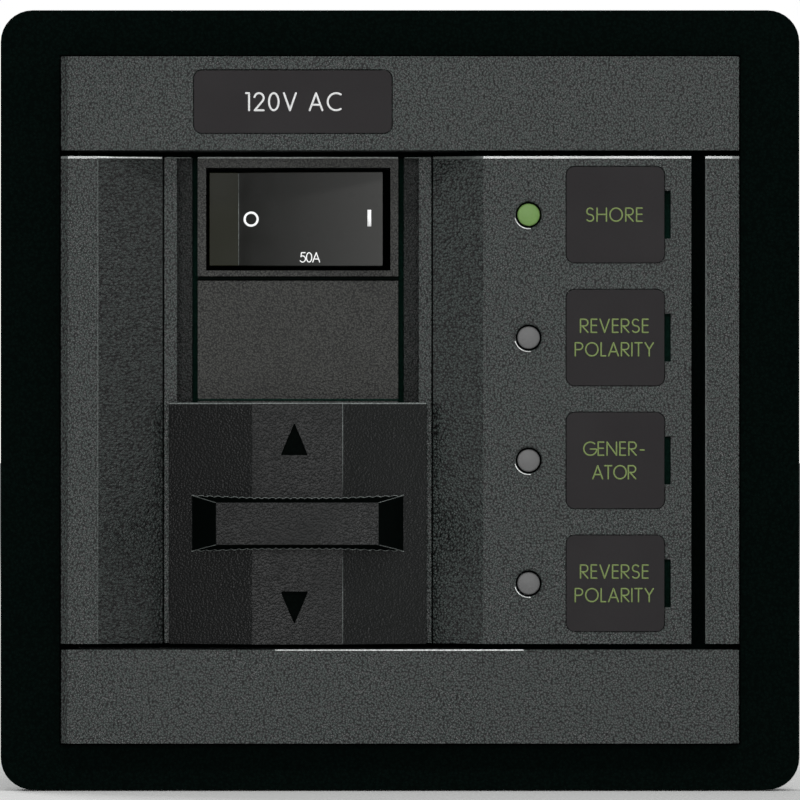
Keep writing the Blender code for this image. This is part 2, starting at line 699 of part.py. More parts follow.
def lamps_and_legends():
    inner = FACE_Y + FACE_WALL
    for number, row in enumerate(rows(), 1):
        place = (LAMP_X, row)
        lens = round_bar(place, LENS_R, (FACE_Y + 0.15, inner + 0.6), "Y", 24)
        join(lens, round_bar(place, 2.9, (inner + CLEAR, inner + 0.7), "Y", 24))
        node(lens, f"indicator_lens_{number}", "green_lens" if number == 1 else "grey_lens")
        chip_y = (inner + 1.0, BOARD_Y[0] - CLEAR)
        node(block(about(LAMP_X, 1.5), chip_y, about(row, 1.5)), f"indicator_lamp_{number}", "lamp_chip")
        insert_plate(f"legend_plate_{number}", LEGEND_X, legend_z(row))


def indicator_screws():
    for number, place in enumerate(case_screw_places(), 1):
        pan_screw(f"indicator_screw_{number}", place, PLATE_BACK_Y + CLEAR, INDICATOR_SCREW)


def build():
    clear_scene()
    mounting_bezel()
    rail("top_rail_cover", 1)
    rail("bottom_rail_cover", -1)
    insert_plate("title_plate", TITLE_X, TITLE_Z)
    left_side_trim()
    right_side_trim()
    mounting_screws()
    breaker_carrier()
    breaker_screws()
    lockout_slide()
    breaker("upper", 0.0)
    breaker("lower", -FIELD_Z)
    indicator_housing()
    indicator_back_cover()
    circuit_board()
    lamps_and_legends()
    indicator_screws()


build()
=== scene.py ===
"""The looks of a source-selector breaker panel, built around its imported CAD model.

Lengths are in millimetres until a mesh is made. The panel faces -Y and +Z is up. Places come
from the CAD nodes' boxes, so a piece follows its node if the model changes.
"""

import functools
import json
import math

import bmesh
import bpy
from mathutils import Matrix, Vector

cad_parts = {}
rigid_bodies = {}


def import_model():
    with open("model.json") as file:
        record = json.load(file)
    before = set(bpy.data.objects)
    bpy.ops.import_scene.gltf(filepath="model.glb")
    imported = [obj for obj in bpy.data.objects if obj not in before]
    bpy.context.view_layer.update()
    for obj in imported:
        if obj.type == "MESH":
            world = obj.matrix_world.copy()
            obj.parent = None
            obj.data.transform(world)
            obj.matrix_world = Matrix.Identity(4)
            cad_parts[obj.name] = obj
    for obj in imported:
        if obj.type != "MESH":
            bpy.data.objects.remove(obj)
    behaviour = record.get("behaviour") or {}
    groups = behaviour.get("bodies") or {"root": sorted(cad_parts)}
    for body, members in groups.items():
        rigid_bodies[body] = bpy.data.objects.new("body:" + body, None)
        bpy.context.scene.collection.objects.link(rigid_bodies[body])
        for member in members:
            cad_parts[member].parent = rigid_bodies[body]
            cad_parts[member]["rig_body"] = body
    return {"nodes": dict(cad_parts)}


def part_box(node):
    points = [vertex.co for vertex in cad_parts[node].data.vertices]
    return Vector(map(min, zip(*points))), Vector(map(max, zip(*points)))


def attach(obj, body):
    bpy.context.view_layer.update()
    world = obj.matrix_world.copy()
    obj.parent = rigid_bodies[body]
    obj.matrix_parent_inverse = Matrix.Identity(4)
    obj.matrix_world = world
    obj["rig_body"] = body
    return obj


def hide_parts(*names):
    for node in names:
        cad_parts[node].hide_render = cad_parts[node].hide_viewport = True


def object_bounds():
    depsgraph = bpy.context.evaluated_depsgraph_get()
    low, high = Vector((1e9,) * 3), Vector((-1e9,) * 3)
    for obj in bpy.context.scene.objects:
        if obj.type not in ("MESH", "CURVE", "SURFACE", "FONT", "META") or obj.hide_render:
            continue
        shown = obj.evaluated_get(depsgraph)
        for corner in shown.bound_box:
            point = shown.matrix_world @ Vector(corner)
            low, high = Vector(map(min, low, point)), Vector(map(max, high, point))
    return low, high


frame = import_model()
cad_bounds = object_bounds()

MM = 0.001
WELD = 2e-6                       # metres: the seams of an imported mesh

# Finer features than the CAD model has
SHARP_ANGLE = 24.0                # degrees: edges sharper than this are rounded over
RIDGE_ANGLE = 9.0                 # the same, on pieces with shallow ridges
GRIP_EDGE_ANGLE = 60.0            # the same, on the grip, which leaves its flutes sharp
BOSS_HALF = 15.72                 # half width of a breaker's face
TOP_SLANT = 0.38                  # height of the slanted top front edge of the trims
LEAN = 0.5                        # how far a slanted top edge goes back for its height
FIELD_HALF = 38.0                 # half the height between the rails, less the seams
SEAM = 0.9                        # seam between a rail and the field
SEAM_SHADE_Y = (-4.5, -4.32)      # painted shade: dark strips in the seams, just in front of the carrier plate
ROCKER_SHADE_Y = (1.5, 2.1)             # painted shade: dark sheets behind the rockers
LAMP_HOLE = 2.02                  # radius of the holes round the lenses
LENS_RADIUS = 1.77

# Breaker bodies and what stands behind the panel
CASE_FRONT_Y = -2.2
FIN_PLACES = (-23.0, -16.5, -10.0)  # upright fins between the studs of a pole
FIN = 1.4
FIN_REACH = 3.0
VENTS = 4
VENTS_FROM_FRONT = 26.0
VENT_PITCH = 2.4
VENT = 1.1                        # width of a vent's bar
STUD_RADIUS = 2.4
NUT_RADIUS = 4.4
WASHER_RADIUS = 4.6
FRAME_X = 8.0                     # the flank's raised frame, from the sides of the case
FRAME_Y = (10.8, -9.0)            # and from its front and back
FRAME_BAR = 0.8                   # width of the frame's bars
RELIEF = 0.3                      # how far the frame and the vents stand out
RIVET_INSET = 4.0
HEADER_PINS = 5                   # in each of the lamp board's two rows
PIN_HALF = 0.32
PIN_ROW_HALF = 1.27               # from the middle to a row of pins
PIN_PITCH = 1.6
SHROUD_HALF = (3.6, 4.9)          # half width and half height of the shroud round the pins
SHROUD_WALL = 0.8

# Printed marks and relief
INK = 0.04                        # thickness of printed marks
INK_STEP = 0.002                  # each stroke lies this much higher than the last
ARROW_DEPTH = 0.45
FLUTE_PITCH = 1.24
FLUTE_DEPTH = 0.22

# The sliding plate and its grip
SLIDE_FACE_Y = -13.0              # the front of the plate, behind the grip
SLIDE_FLAT_HALF = 7.05
SLIDE_WALL = 1.4
SLIDE_WING_Y = (-9.6, -8.4)       # front and back of the plate's outer edges
SLIDE_LEG = 1.3                   # thickness of the legs that run in the carrier's grooves
GRIP_HALF = (16.8, 12.65)        # half length at its foot and at its front
GRIP_HEIGHT = (8.9, 6.6)
GRIP_FOOT_Y = -10.0               # where it would have its full size
ARROW_HALF = 2.05
ARROW_HEIGHT = 4.9
ARROW_FROM_MIDDLE = 10.7          # from the grip's middle to an arrow's base

# The rocker's face
ROCKER_FACET = 4.65               # width of the flat facet at its pressed end
ROCKER_LOW_Y = -6.0
ROCKER_SAG = 0.25
ROCKER_HEIGHT = 14.7
PIVOT = (0.1, -2.0)               # from the rocker's middle, and y
PIVOT_RADIUS = 1.2

# Printed marks: cap height, stroke width and line pitch
TITLE_TYPE = 2.98, 0.31
LEGEND_TYPE = 2.28, 0.235
LEGEND_PITCH = 3.68
LEGEND_SHIFT = 0.18               # the legends sit a little left of their plates' middle
RATING_TYPE = 1.64, 0.165
O_MARK = 1.02, 0.36               # mean radius, stroke
I_MARK = 2.60, 0.70               # height, width
TITLE_WIDTH = 14.95
O_X = -23.35
I_PLACE = (-4.75, 0.14)           # x, and height over the rocker's middle
RATING_PLACE = (-14.1, -6.0)
RATING_WIDTH = 3.2

LEGENDS = (
    (("SHORE", 8.93),),
    (("REVERSE", 10.78), ("POLARITY", 12.42)),
    (("GENER-", 9.77), ("ATOR", 6.92)),
    (("REVERSE", 10.78), ("POLARITY", 12.42)),
)


# --- frame ---

@functools.cache
def box(node):
    """Lowest and highest corner of a CAD node in millimetres."""
    low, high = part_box(node)
    return low / MM, high / MM


def body_name(node):
    return frame["nodes"][node]["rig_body"]


def finish_name(node):
    """The record's material slot of a CAD node."""
    return frame["nodes"][node].data.materials[0].name.split(".")[0]


FINISH_NAMES = {node: finish_name(node) for node in frame["nodes"]}


# --- materials ---

def linear(red, green, blue):
    """Scene-linear colour of an 8-bit screen colour."""
    def channel(value):
        share = value / 255
        return share / 12.92 if share <= 0.04045 else ((share + 0.055) / 1.055) ** 2.4
    return tuple(channel(value) for value in (red, green, blue))


class Finish:
    """A node tree with a Principled shader and the few patterns that the finishes share."""

    def __init__(self, name, roughness, specular=0.5, metallic=0.0):
        self.material = bpy.data.materials.new(name)
        self.material.use_nodes = True
        self.tree = self.material.node_tree
        self.shader = self.tree.nodes["Principled BSDF"]
        self.shader.inputs["Roughness"].default_value = roughness
        self.shader.inputs["Specular IOR Level"].default_value = specular
        self.shader.inputs["Metallic"].default_value = metallic
        self.coordinates = self.tree.nodes.new("ShaderNodeTexCoord").outputs["Object"]
        self.normal = None

    def node(self, kind, **inputs):
        made = self.tree.nodes.new(kind)
        for name, value in inputs.items():
            made.inputs[name].default_value = value
        return made

    def link(self, output, target):
        self.tree.links.new(output, target)

    def noise(self, size, detail=2.0, stretch=(1.0, 1.0, 1.0)):
        """Noise whose features are about size millimetres across, from 0 to 1."""
        source = self.coordinates
        if stretch != (1.0, 1.0, 1.0):
            mapping = self.node("ShaderNodeMapping", Scale=stretch)
            self.link(source, mapping.inputs["Vector"])
            source = mapping.outputs["Vector"]
        made = self.node("ShaderNodeTexNoise", Scale=1 / (size * MM), Detail=detail)
        self.link(source, made.inputs["Vector"])
        return made.outputs["Fac"]

    def leather(self, size, wander=0.35):
        """Low peaks with sunken borders, size millimetres across, as on a grained mould."""
        drift = self.node("ShaderNodeTexNoise", Scale=0.7 / (size * MM), Detail=2.0)
        self.link(self.coordinates, drift.inputs["Vector"])
        shift = self.tree.nodes.new("ShaderNodeVectorMath")
        shift.operation = "MULTIPLY_ADD"
        self.link(drift.outputs["Color"], shift.inputs[0])
        shift.inputs[1].default_value = (wander * size * MM,) * 3
        self.link(self.coordinates, shift.inputs[2])
        cells = self.node("ShaderNodeTexVoronoi", Scale=1 / (size * MM))
        self.link(shift.outputs["Vector"], cells.inputs["Vector"])
        return cells.outputs["Distance"]

    def spread(self, value, low, high, start=0.0, end=1.0):
        """A value from start to end, mapped on to low to high."""
        made = self.tree.nodes.new("ShaderNodeMapRange")
        made.inputs["From Min"].default_value = start
        made.inputs["From Max"].default_value = end
        made.inputs["To Min"].default_value = low
        made.inputs["To Max"].default_value = high
        self.link(value, made.inputs["Value"])
        return made.outputs["Result"]

    def colours(self, value, first, second):
        """A colour between two, by a value from 0 to 1."""
        made = self.tree.nodes.new("ShaderNodeMix")
        made.data_type = "RGBA"
        self.link(value, made.inputs["Factor"])
        slots = [socket for socket in made.inputs if socket.type == "RGBA"]
        slots[0].default_value = (*first, 1.0)
        slots[1].default_value = (*second, 1.0)
        return [socket for socket in made.outputs if socket.type == "RGBA"][0]

    def colour(self, output):
        self.link(output, self.shader.inputs["Base Color"])

    def roughness(self, value, low, high):
        self.link(self.spread(value, low, high, 0.3, 0.7), self.shader.inputs["Roughness"])

    def across(self, left, right):
        """The way across the panel, from 0 to 1 between two x."""
        axis = self.tree.nodes.new("ShaderNodeSeparateXYZ")
        self.link(self.coordinates, axis.inputs["Vector"])
        return self.spread(axis.outputs["X"], 0.0, 1.0, left * MM, right * MM)

    def bump(self, height, depth):
        """Relief of a depth in millimetres, on top of any relief already there."""
        made = self.node("ShaderNodeBump", Strength=1.0, Distance=depth * MM)
        self.link(height, made.inputs["Height"])
        if self.normal:
            self.link(self.normal, made.inputs["Normal"])
        self.normal = made.outputs["Normal"]
        self.link(self.normal, self.shader.inputs["Normal"])


def shade(colour, factor):
    return tuple(channel * factor for channel in colour)


def moulded(name, colour, roughness, specular, grain, depth, speckle=0.3):
    """Moulded plastic with a leathery grain, slightly uneven in colour and gloss."""
    finish = Finish(name, roughness, specular)
    cells = finish.leather(grain)
    finish.colour(finish.colours(
        finish.spread(cells, 0.0, 1.0, 0.1, 0.7),
        shade(colour, 1 + speckle), shade(colour, 1 - speckle)))
    finish.roughness(finish.noise(9.0, 1.0), roughness - 0.04, roughness + 0.04)
    finish.bump(cells, -depth)
    return finish.material


def metal(name, colour, roughness, brush=(1.0, 0.05, 1.0), tarnish=0.75):
    """Bright metal with fine tool marks along one axis and uneven tarnish."""
    finish = Finish(name, roughness, metallic=1.0)
    finish.colour(finish.colours(finish.noise(2.5, 4.0), shade(colour, tarnish), colour))
    marks = finish.noise(0.15, 2.0, brush)
    finish.roughness(marks, roughness - 0.07, roughness + 0.1)
    finish.bump(marks, 0.006)
    return finish.material


def slide_plastic():
    """The slide's grained plastic, with painted shade and light: darker towards its left side and paler
    towards its right, as if lit from the right.
    """
    finish = Finish("slide_plastic", 0.36, 0.15)
    low, high = box("lockout_slide")
    across = finish.across(low.x, high.x)
    finish.colour(finish.colours(across, linear(1, 1.5, 1.5), linear(18, 19.5, 19)))
    finish.roughness(finish.noise(9.0, 1.0), 0.32, 0.4)
    finish.bump(finish.leather(0.34), -0.06)
    return finish.material


def rocker_plastic():
    """Satin plastic with a painted shade and reflection gradient: its tone lifts from dark at the pressed
    end, along the hollow face, towards the raised end.
    """
    finish = Finish("rocker_plastic", 0.3, 0.045)
    low, high = box("upper_rocker")
    across = finish.across(low.x + ROCKER_FACET, high.x)
    finish.colour(finish.colours(across, linear(4, 5, 2), linear(61, 61, 60)))
    finish.roughness(finish.noise(3.0, 3.0), 0.26, 0.34)
    finish.bump(finish.noise(0.35, 2.0), 0.004)
    return finish.material


def lens_plastic(name, colour, rim, glow=0.0):
    """A diffusing lens, mottled milky between two tones."""
    finish = Finish(name, 0.35, 0.1)
    mottle = finish.noise(0.5, 3.0)
    tint = finish.colours(mottle, colour, rim)
    finish.colour(tint)
    if glow:
        finish.link(tint, finish.shader.inputs["Emission Color"])
        finish.shader.inputs["Emission Strength"].default_value = glow
    finish.bump(finish.noise(0.2, 2.0), 0.004)
    return finish.material


def ink(name, colour):
    """Printed ink with slightly uneven coverage."""
    finish = Finish(name, 0.55, 0.2)
    finish.colour(finish.colours(finish.noise(0.3, 2.0), shade(colour, 0.86), colour))
    finish.bump(finish.noise(0.12, 2.0), 0.004)
    return finish.material


def board_laminate():
    """Green solder resist over a woven laminate."""
    finish = Finish("circuit_board", 0.35)
    finish.colour(finish.colours(finish.noise(1.6, 4.0), (0.006, 0.05, 0.018), (0.012, 0.09, 0.03)))
    finish.bump(finish.noise(0.25, 1.0, (1.0, 1.0, 6.0)), 0.01)
    return finish.material


def fibre():
    """Pressed black fibre board."""
    finish = Finish("fibre_board", 0.8, 0.02)
    finish.colour(finish.colours(
        finish.noise(0.4, 5.0, (1.0, 1.0, 4.0)), (0.001, 0.002, 0.0015), (0.002, 0.0035, 0.003)))
    finish.bump(finish.noise(0.3, 4.0, (1.0, 1.0, 4.0)), 0.02)
    return finish.material


def winding():
    """Enamelled wire, wound round the Y axis."""
    finish = Finish("coil_enamel", 0.3, 0.6, 0.5)
    bands = finish.node("ShaderNodeTexWave", Scale=0.5 / (0.9 * MM))
    bands.bands_direction = "Y"
    finish.link(finish.coordinates, bands.inputs["Vector"])
    finish.colour(finish.colours(bands.outputs["Fac"], (0.16, 0.05, 0.015), (0.42, 0.15, 0.05)))
    finish.bump(bands.outputs["Fac"], 0.15)
    return finish.material


# colour, roughness, specular level, size and depth of the grain, and speckle
PLASTICS = {
    "bezel_plastic": ((0.0009, 0.0026, 0.0021), 0.6, 0.004, 0.5, 0.02),
    "textured_plastic": (linear(37.5, 43.5, 41.5), 0.38, 0.4, 0.36, 0.12, 1.1),
    "breaker_plastic": (linear(44, 44.5, 42), 0.45, 0.22, 0.3, 0.07, 0.8),
    "insert_plastic": (linear(35, 33, 34), 0.55, 0.08, 0.3, 0.004, 0.05),
}
GREEN_INK = ink("green_ink", linear(108, 124, 74))
WHITE_INK = ink("white_ink", linear(212, 212, 212))
BRIGHT_INK = ink("bright_ink", linear(252, 252, 252))
# black fill for the engraved arrows, and painted shade: near black in the seams, behind the rockers and lens
# rims, and on the grip's flanks
BLACK_FILL_AND_SHADE = moulded("black_fill_and_painted_shade", (0.0006, 0.0014, 0.0011), 0.7, 0.01, 0.4, 0.01)
# painted highlight: a paler, glossier copy of the plastic for the top chamfers
TOP_EDGE_HIGHLIGHT = moulded("painted_top_edge_highlight", linear(88, 92, 90), 0.24, 1.0, 0.5, 0.002, 0.1)
SATIN = moulded("bezel_satin", (0.0012, 0.0026, 0.0021), 0.42, 0.35, 0.6, 0.03)
# painted shade: a darker copy of the plastic for the carrier's recessed ways
GROOVE_SHADE = moulded("painted_groove_shade", linear(26, 29, 28), 0.42, 0.15, 0.35, 0.1, 0.8)
# painted highlights for thin lines along edges, in three strengths: plain, bright and pale
EDGE_HIGHLIGHT = moulded("painted_edge_highlight", linear(98, 103, 101), 0.4, 0.3, 0.35, 0.01)
BRIGHT_HIGHLIGHT = moulded("painted_bright_highlight", linear(160, 164, 162), 0.4, 0.3, 0.35, 0.01)
PALE_HIGHLIGHT = moulded("painted_pale_highlight", linear(215, 217, 216), 0.4, 0.3, 0.35, 0.01)
SHADED = moulded("shaded_plastic", linear(28, 33, 31.5), 0.4, 0.25, 0.36, 0.12, 1.1)
# painted shade: a darker copy of the rocker's plastic for the sunken facet at its pressed end
FACET_SHADE = moulded("rocker_facet", linear(23, 24, 13), 0.3, 0.045, 0.3, 0.003, 0.05)
# painted shade: the green-black of the gaps, on sheets put behind them
GAP_SHADE = moulded("gap_shadow", (0.004, 0.016, 0.0117), 0.8, 0.0, 0.4, 0.01)

FINISHES = {
    **{name: moulded(name, *look) for name, look in PLASTICS.items()},
    "slide_plastic": slide_plastic(),
    "rocker_plastic": rocker_plastic(),
    "green_lens": lens_plastic("green_lens", linear(92, 121, 66), linear(98, 128, 71), 0.02),
    "grey_lens": lens_plastic("grey_lens", linear(89, 89, 89), linear(94, 94, 94)),
    "lamp_chip": lens_plastic("lamp_chip", (0.6, 0.55, 0.35), (0.8, 0.76, 0.5)),
    "circuit_board": board_laminate(),
    "screw_steel": metal("screw_steel", (0.55, 0.55, 0.53), 0.32),
    "copper": metal("copper", (0.72, 0.36, 0.2), 0.3, (1.0, 1.0, 0.05)),
    "brass": metal("brass", (0.68, 0.5, 0.22), 0.28, (1.0, 1.0, 0.05)),
    "coil_enamel": winding(),
    "fibre_board": fibre(),
}


# --- mesh work ---

def new_object(name, shape, materials):
    """An object from a bmesh, which is freed."""
    bmesh.ops.recalc_face_normals(shape, faces=shape.faces)
    mesh = bpy.data.meshes.new(name)
    shape.to_mesh(mesh)
    shape.free()
    for layer in ("custom_normal", "sharp_edge", "sharp_face"):
        if layer in mesh.attributes:
            mesh.attributes.remove(mesh.attributes[layer])
    for material in materials:
        mesh.materials.append(material)
    mesh.shade_smooth()
    piece = bpy.data.objects.new(name, mesh)
    bpy.context.scene.collection.objects.link(piece)
    return piece


def round_over(piece, width, segments=3, angle=SHARP_ANGLE):
    """Rounds the sharp edges of a piece to a width in millimetres."""
    bevel = piece.modifiers.new("edges", "BEVEL")
    bevel.width = width * MM
    bevel.segments = segments
    bevel.limit_method = "ANGLE"
    bevel.angle_limit = math.radians(angle)
    bevel.harden_normals = True
    bevel.use_clamp_overlap = True
    bevel.miter_outer = "MITER_ARC"
    bevel.loop_slide = True
    return piece


def bake_modifiers(piece):
    ready = bpy.context.evaluated_depsgraph_get()
    mesh = bpy.data.meshes.new_from_object(piece.evaluated_get(ready))
    piece.modifiers.clear()
    piece.data = mesh


def carve(piece, cutter):
    """Cuts one object out of another, keeping the cutter's material on the new faces."""
    change = piece.modifiers.new("carve", "BOOLEAN")
    change.operation = "DIFFERENCE"
    change.solver = "EXACT"
    change.material_mode = "TRANSFER"
    change.object = cutter
    bake_modifiers(piece)
    bpy.data.objects.remove(cutter, do_unlink=True)


def repaint(piece, material, chosen):
    """Gives the faces of a piece that pass a test another material."""
    mesh = piece.data
    mesh.materials.append(material)
    for face in mesh.polygons:
        if chosen(face):
            face.material_index = len(mesh.materials) - 1
    return piece


def faces_top(face):
    """Whether a face is a chamfer that looks up and forwards."""
    return face.normal.z > 0.3 and face.normal.y < -0.3


def paint_top_edge_highlights(piece):
    """Gives the top chamfers flat normals and a glossy skin that is also painted paler: a painted highlight
    on top of the real reflection.
    """
    bake_modifiers(piece)
    repaint(piece, TOP_EDGE_HIGHLIGHT, faces_top)
    mesh = piece.data
    normals = [corner.vector.copy() for corner in mesh.corner_normals]
    for face in filter(faces_top, mesh.polygons):
        for corner in face.loop_indices:
            normals[corner] = face.normal.copy()
    mesh.normals_split_custom_set(normals)
    return piece


def settle(piece, node, *replaced):
    """A piece rides on the body of a CAD node, and stands for the others."""
    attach(piece, body_name(node))
    if replaced:
        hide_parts(*replaced)
    return piece


def fit(piece, node):
    """A piece rides on the body of a CAD node."""
    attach(piece, body_name(node))


def cad_shape(node):
    """A copy of a CAD node's mesh, with its seams welded."""
    shape = bmesh.new()
    shape.from_mesh(frame["nodes"][node].data)
    bmesh.ops.remove_doubles(shape, verts=shape.verts, dist=WELD)
    return shape


def softened(node, width, angle=SHARP_ANGLE):
    """A CAD node with its edges rounded over, in its place."""
    piece = new_object(f"{node}_moulding", cad_shape(node), [FINISHES[FINISH_NAMES[node]]])
    round_over(piece, width, 3, angle)
    return settle(piece, node, node)


def lean_back(shape, top, width):
    """Slants the top front edge of an upright moulding back, down from a height z."""
    geometry = [*shape.verts, *shape.edges, *shape.faces]
    cut_place = (0, 0, (top - width) * MM)
    bmesh.ops.bisect_plane(shape, geom=geometry, plane_co=cut_place, plane_no=(0, 0, 1))
    shape.normal_update()
    edge = [vertex for vertex in shape.verts if vertex.co.z > (top - 0.01) * MM
            and any(face.normal.y < -0.3 for face in vertex.link_faces)]
    for vertex in edge:
        vertex.co.y += width * LEAN * MM


def chamfered(node, angle=SHARP_ANGLE):
    """A CAD node with its top front edge slanted back and given a glossy, painted highlight, and its edges
    eased.
    """
    shape = cad_shape(node)
    lean_back(shape, box(node)[1].z, TOP_SLANT)
    piece = new_object(f"{node}_moulding", shape, [FINISHES[FINISH_NAMES[node]]])
    round_over(piece, 0.12, 1, angle)
    return settle(paint_top_edge_highlights(piece), node, node)


# A point from its place in the plane across an axis and its height along the axis
PLACE = {
    "X": lambda u, v, w: (w, u, v),
    "Y": lambda u, v, w: (u, w, v),
    "Z": lambda u, v, w: (u, v, w),
}


def add_points(shape, outline, height, axis="Y"):
    """Adds the points of an outline in the plane across an axis, at a height along it."""
    return [shape.verts.new([MM * c for c in PLACE[axis](u, v, height)]) for u, v in outline]


def prism(shape, outline, span, axis):
    """Adds a closed prism: an outline in the plane across an axis, run along it over a span."""
    ends = [add_points(shape, outline, height, axis) for height in span]
    shape.faces.new(ends[0])
    shape.faces.new(reversed(ends[1]))
    for i in range(len(outline)):
        j = (i + 1) % len(outline)
        shape.faces.new((ends[0][j], ends[0][i], ends[1][i], ends[1][j]))


def block(name, outline, span, axis, material):
    """A piece that is one prism."""
    shape = bmesh.new()
    prism(shape, outline, span, axis)
    return new_object(name, shape, [material])


def arc(centre, radius, start, end, steps):
    """Points along an arc; angles in degrees, and a radius or a pair of them."""
    across, up = radius if isinstance(radius, tuple) else (radius, radius)
    points = []
    for i in range(steps + 1):
        angle = math.radians(start + (end - start) * i / steps)
        points.append((centre[0] + across * math.cos(angle), centre[1] + up * math.sin(angle)))
    return points


def skin(shape, rings):
    """Adds the faces between rings that have the same number of points."""
    for first, second in zip(rings, rings[1:]):
        for i in range(len(first)):
            j = (i + 1) % len(first)
            shape.faces.new((first[i], first[j], second[j], second[i]))


def capped_skin(shape, rings):
    """Adds a closed body through rings, with flat ends."""
    shape.faces.new(rings[0])
    shape.faces.new(rings[-1])
    skin(shape, rings)


def lathe(shape, centre, profile, sides=40, axis="Y"):
    """Adds a turned body about an axis; its profile is (radius, height), from axis to axis."""
    rings = []
    for radius, height in profile:
        ring = [centre] if radius < 1e-6 else arc(centre, radius, 0, 360, sides)[:-1]
        rings.append(add_points(shape, ring, height, axis))
    for first, second in zip(rings, rings[1:]):
        for i in range(sides):
            j = (i + 1) % sides
            corners = [first[i % len(first)], first[j % len(first)]]
            corners += [second[j % len(second)], second[i % len(second)]]
            unique = list(dict.fromkeys(corners))
            if len(unique) > 2:
                shape.faces.new(unique)


# --- lettering ---

def glyphs():
    """A plain pen alphabet: each letter is its width and its strokes, on a height of 1."""
    bowl = arc((0.3, 0.74), (0.26, 0.26), 90, -90, 12)
    p_bowl = [(0.0, 1.0), *bowl, (0.0, 0.48)]
    s_top = arc((0.28, 0.75), (0.25, 0.25), 35, 262, 16)
    s_low = arc((0.27, 0.25), (0.27, 0.25), 85, -145, 16)
    two = arc((0.27, 0.72), (0.27, 0.28), 170, -38, 16)
    five = arc((0.24, 0.33), (0.3, 0.33), 118, -145, 18)
    return {
        "A": (0.74, [[(0, 0), (0.37, 1)], [(0.74, 0), (0.37, 1)], [(0.12, 0.32), (0.62, 0.32)]]),
        "C": (0.7, [arc((0.5, 0.5), (0.5, 0.5), 58, 302, 24)]),
        "E": (0.42, [[(0, 0), (0, 1)], [(0, 1), (0.42, 1)], [(0, 0.53), (0.4, 0.53)], [(0, 0), (0.42, 0)]]),
        "G": (0.84, [arc((0.5, 0.5), (0.5, 0.5), 48, 352, 30), [(0.5, 0.47), (0.94, 0.47)]]),
        "H": (0.72, [[(0, 0), (0, 1)], [(0.72, 0), (0.72, 1)], [(0, 0.52), (0.72, 0.52)]]),
        "I": (0.0, [[(0, 0), (0, 1)]]),
        "L": (0.34, [[(0, 1), (0, 0)], [(0, 0), (0.34, 0)]]),
        "N": (0.72, [[(0, 0), (0, 1)], [(0, 1), (0.72, 0)], [(0.72, 0), (0.72, 1)]]),
        "O": (0.94, [arc((0.47, 0.5), (0.47, 0.5), 0, 360, 36)]),
        "P": (0.56, [[(0, 0), (0, 1)], p_bowl]),
        "R": (0.56, [[(0, 0), (0, 1)], p_bowl, [(0.14, 0.46), (0.56, 0)]]),
        "S": (0.54, [s_top + s_low[1:]]),
        "T": (0.54, [[(0, 1), (0.54, 1)], [(0.27, 1), (0.27, 0)]]),
        "V": (0.7, [[(0, 1), (0.35, 0)], [(0.35, 0), (0.7, 1)]]),
        "Y": (0.62, [[(0, 1), (0.31, 0.5)], [(0.62, 1), (0.31, 0.5)], [(0.31, 0.5), (0.31, 0)]]),
        "-": (0.4, [[(0.06, 0.4), (0.34, 0.4)]]),
        "0": (0.56, [arc((0.28, 0.5), (0.28, 0.5), 0, 360, 32)]),
        "1": (0.18, [[(0.18, 0), (0.18, 1)], [(0.18, 1), (0, 1)]]),
        "2": (0.54, [two + [(0.02, 0.0)], [(0.02, 0.0), (0.54, 0.0)]]),
        "5": (0.54, [[(0.5, 1), (0.12, 1)], [(0.12, 1), (0.06, 0.56)], five]),
        " ": (0.18, []),
    }


GLYPHS = glyphs()


def pen_stroke(shape, points, half, y, surface):
    """Adds one stroke as a raised strip with round ends. surface(x) is the height under it."""
    points = [Vector(point) for point in points]
    closed = (points[0] - points[-1]).length < half / 20
    if closed:
        points.pop()
    count = len(points)

    def corner(point):
        return shape.verts.new((point.x * MM, (surface(point.x) + y) * MM, point.y * MM))

    rows = []
    for i, point in enumerate(points):
        before = points[i - 1] if closed or i else point
        after = points[(i + 1) % count] if closed or i < count - 1 else point
        along = (after - before).normalized()
        side = Vector((-along.y, along.x)) * half
        rows.append((corner(point + side), corner(point - side), along, side))
    faces = []
    for i in range(count if closed else count - 1):
        first, second = rows[i], rows[(i + 1) % count]
        faces.append(shape.faces.new((first[0], first[1], second[1], second[0])))
    if not closed:
        for row, point, way in ((rows[0], points[0], -1), (rows[-1], points[-1], 1)):
            cap = []
            for step in range(1, 6):
                angle = math.pi * step / 6
                turned = row[3] * math.cos(angle) + row[2] * (way * half * math.sin(angle))
                cap.append(corner(point + turned))
            faces.append(shape.faces.new([row[0], *cap, row[1]]))
    deeper = bmesh.ops.extrude_face_region(shape, geom=faces)
    moved = [item for item in deeper["geom"] if isinstance(item, bmesh.types.BMVert)]
    bmesh.ops.translate(shape, verts=moved, vec=(0, -INK * MM, 0))


def letter_strokes(text, height, stroke, centre, width=None):
    """The strokes of a line of text centred on a point. The letters are spaced to fill the
    width, or closely if none is given."""
    size = height - stroke
    letters = [GLYPHS[letter] for letter in text]
    natural = sum(letter[0] for letter in letters) * size + stroke * len(letters)
    gaps = len(letters) - 1
    gap = (width - natural) / gaps if width else 0.13 * size
    left = centre[0] - (natural + gap * gaps) / 2 + stroke / 2
    foot = centre[1] - size / 2
    strokes = []
    for letter_width, parts in letters:
        for points in parts:
            strokes.append([(left + size * x, foot + size * z) for x, z in points])
        left += letter_width * size + stroke + gap
    return strokes


def printed(name, strokes, half, surface, material, node):
    """Printed marks on the surface of a node's piece."""
    shape = bmesh.new()
    for number, points in enumerate(strokes):
        pen_stroke(shape, points, half, -INK_STEP * number, surface)
    mark = new_object(name, shape, [material])
    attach(mark, body_name(node))
    return mark


# --- panel ---

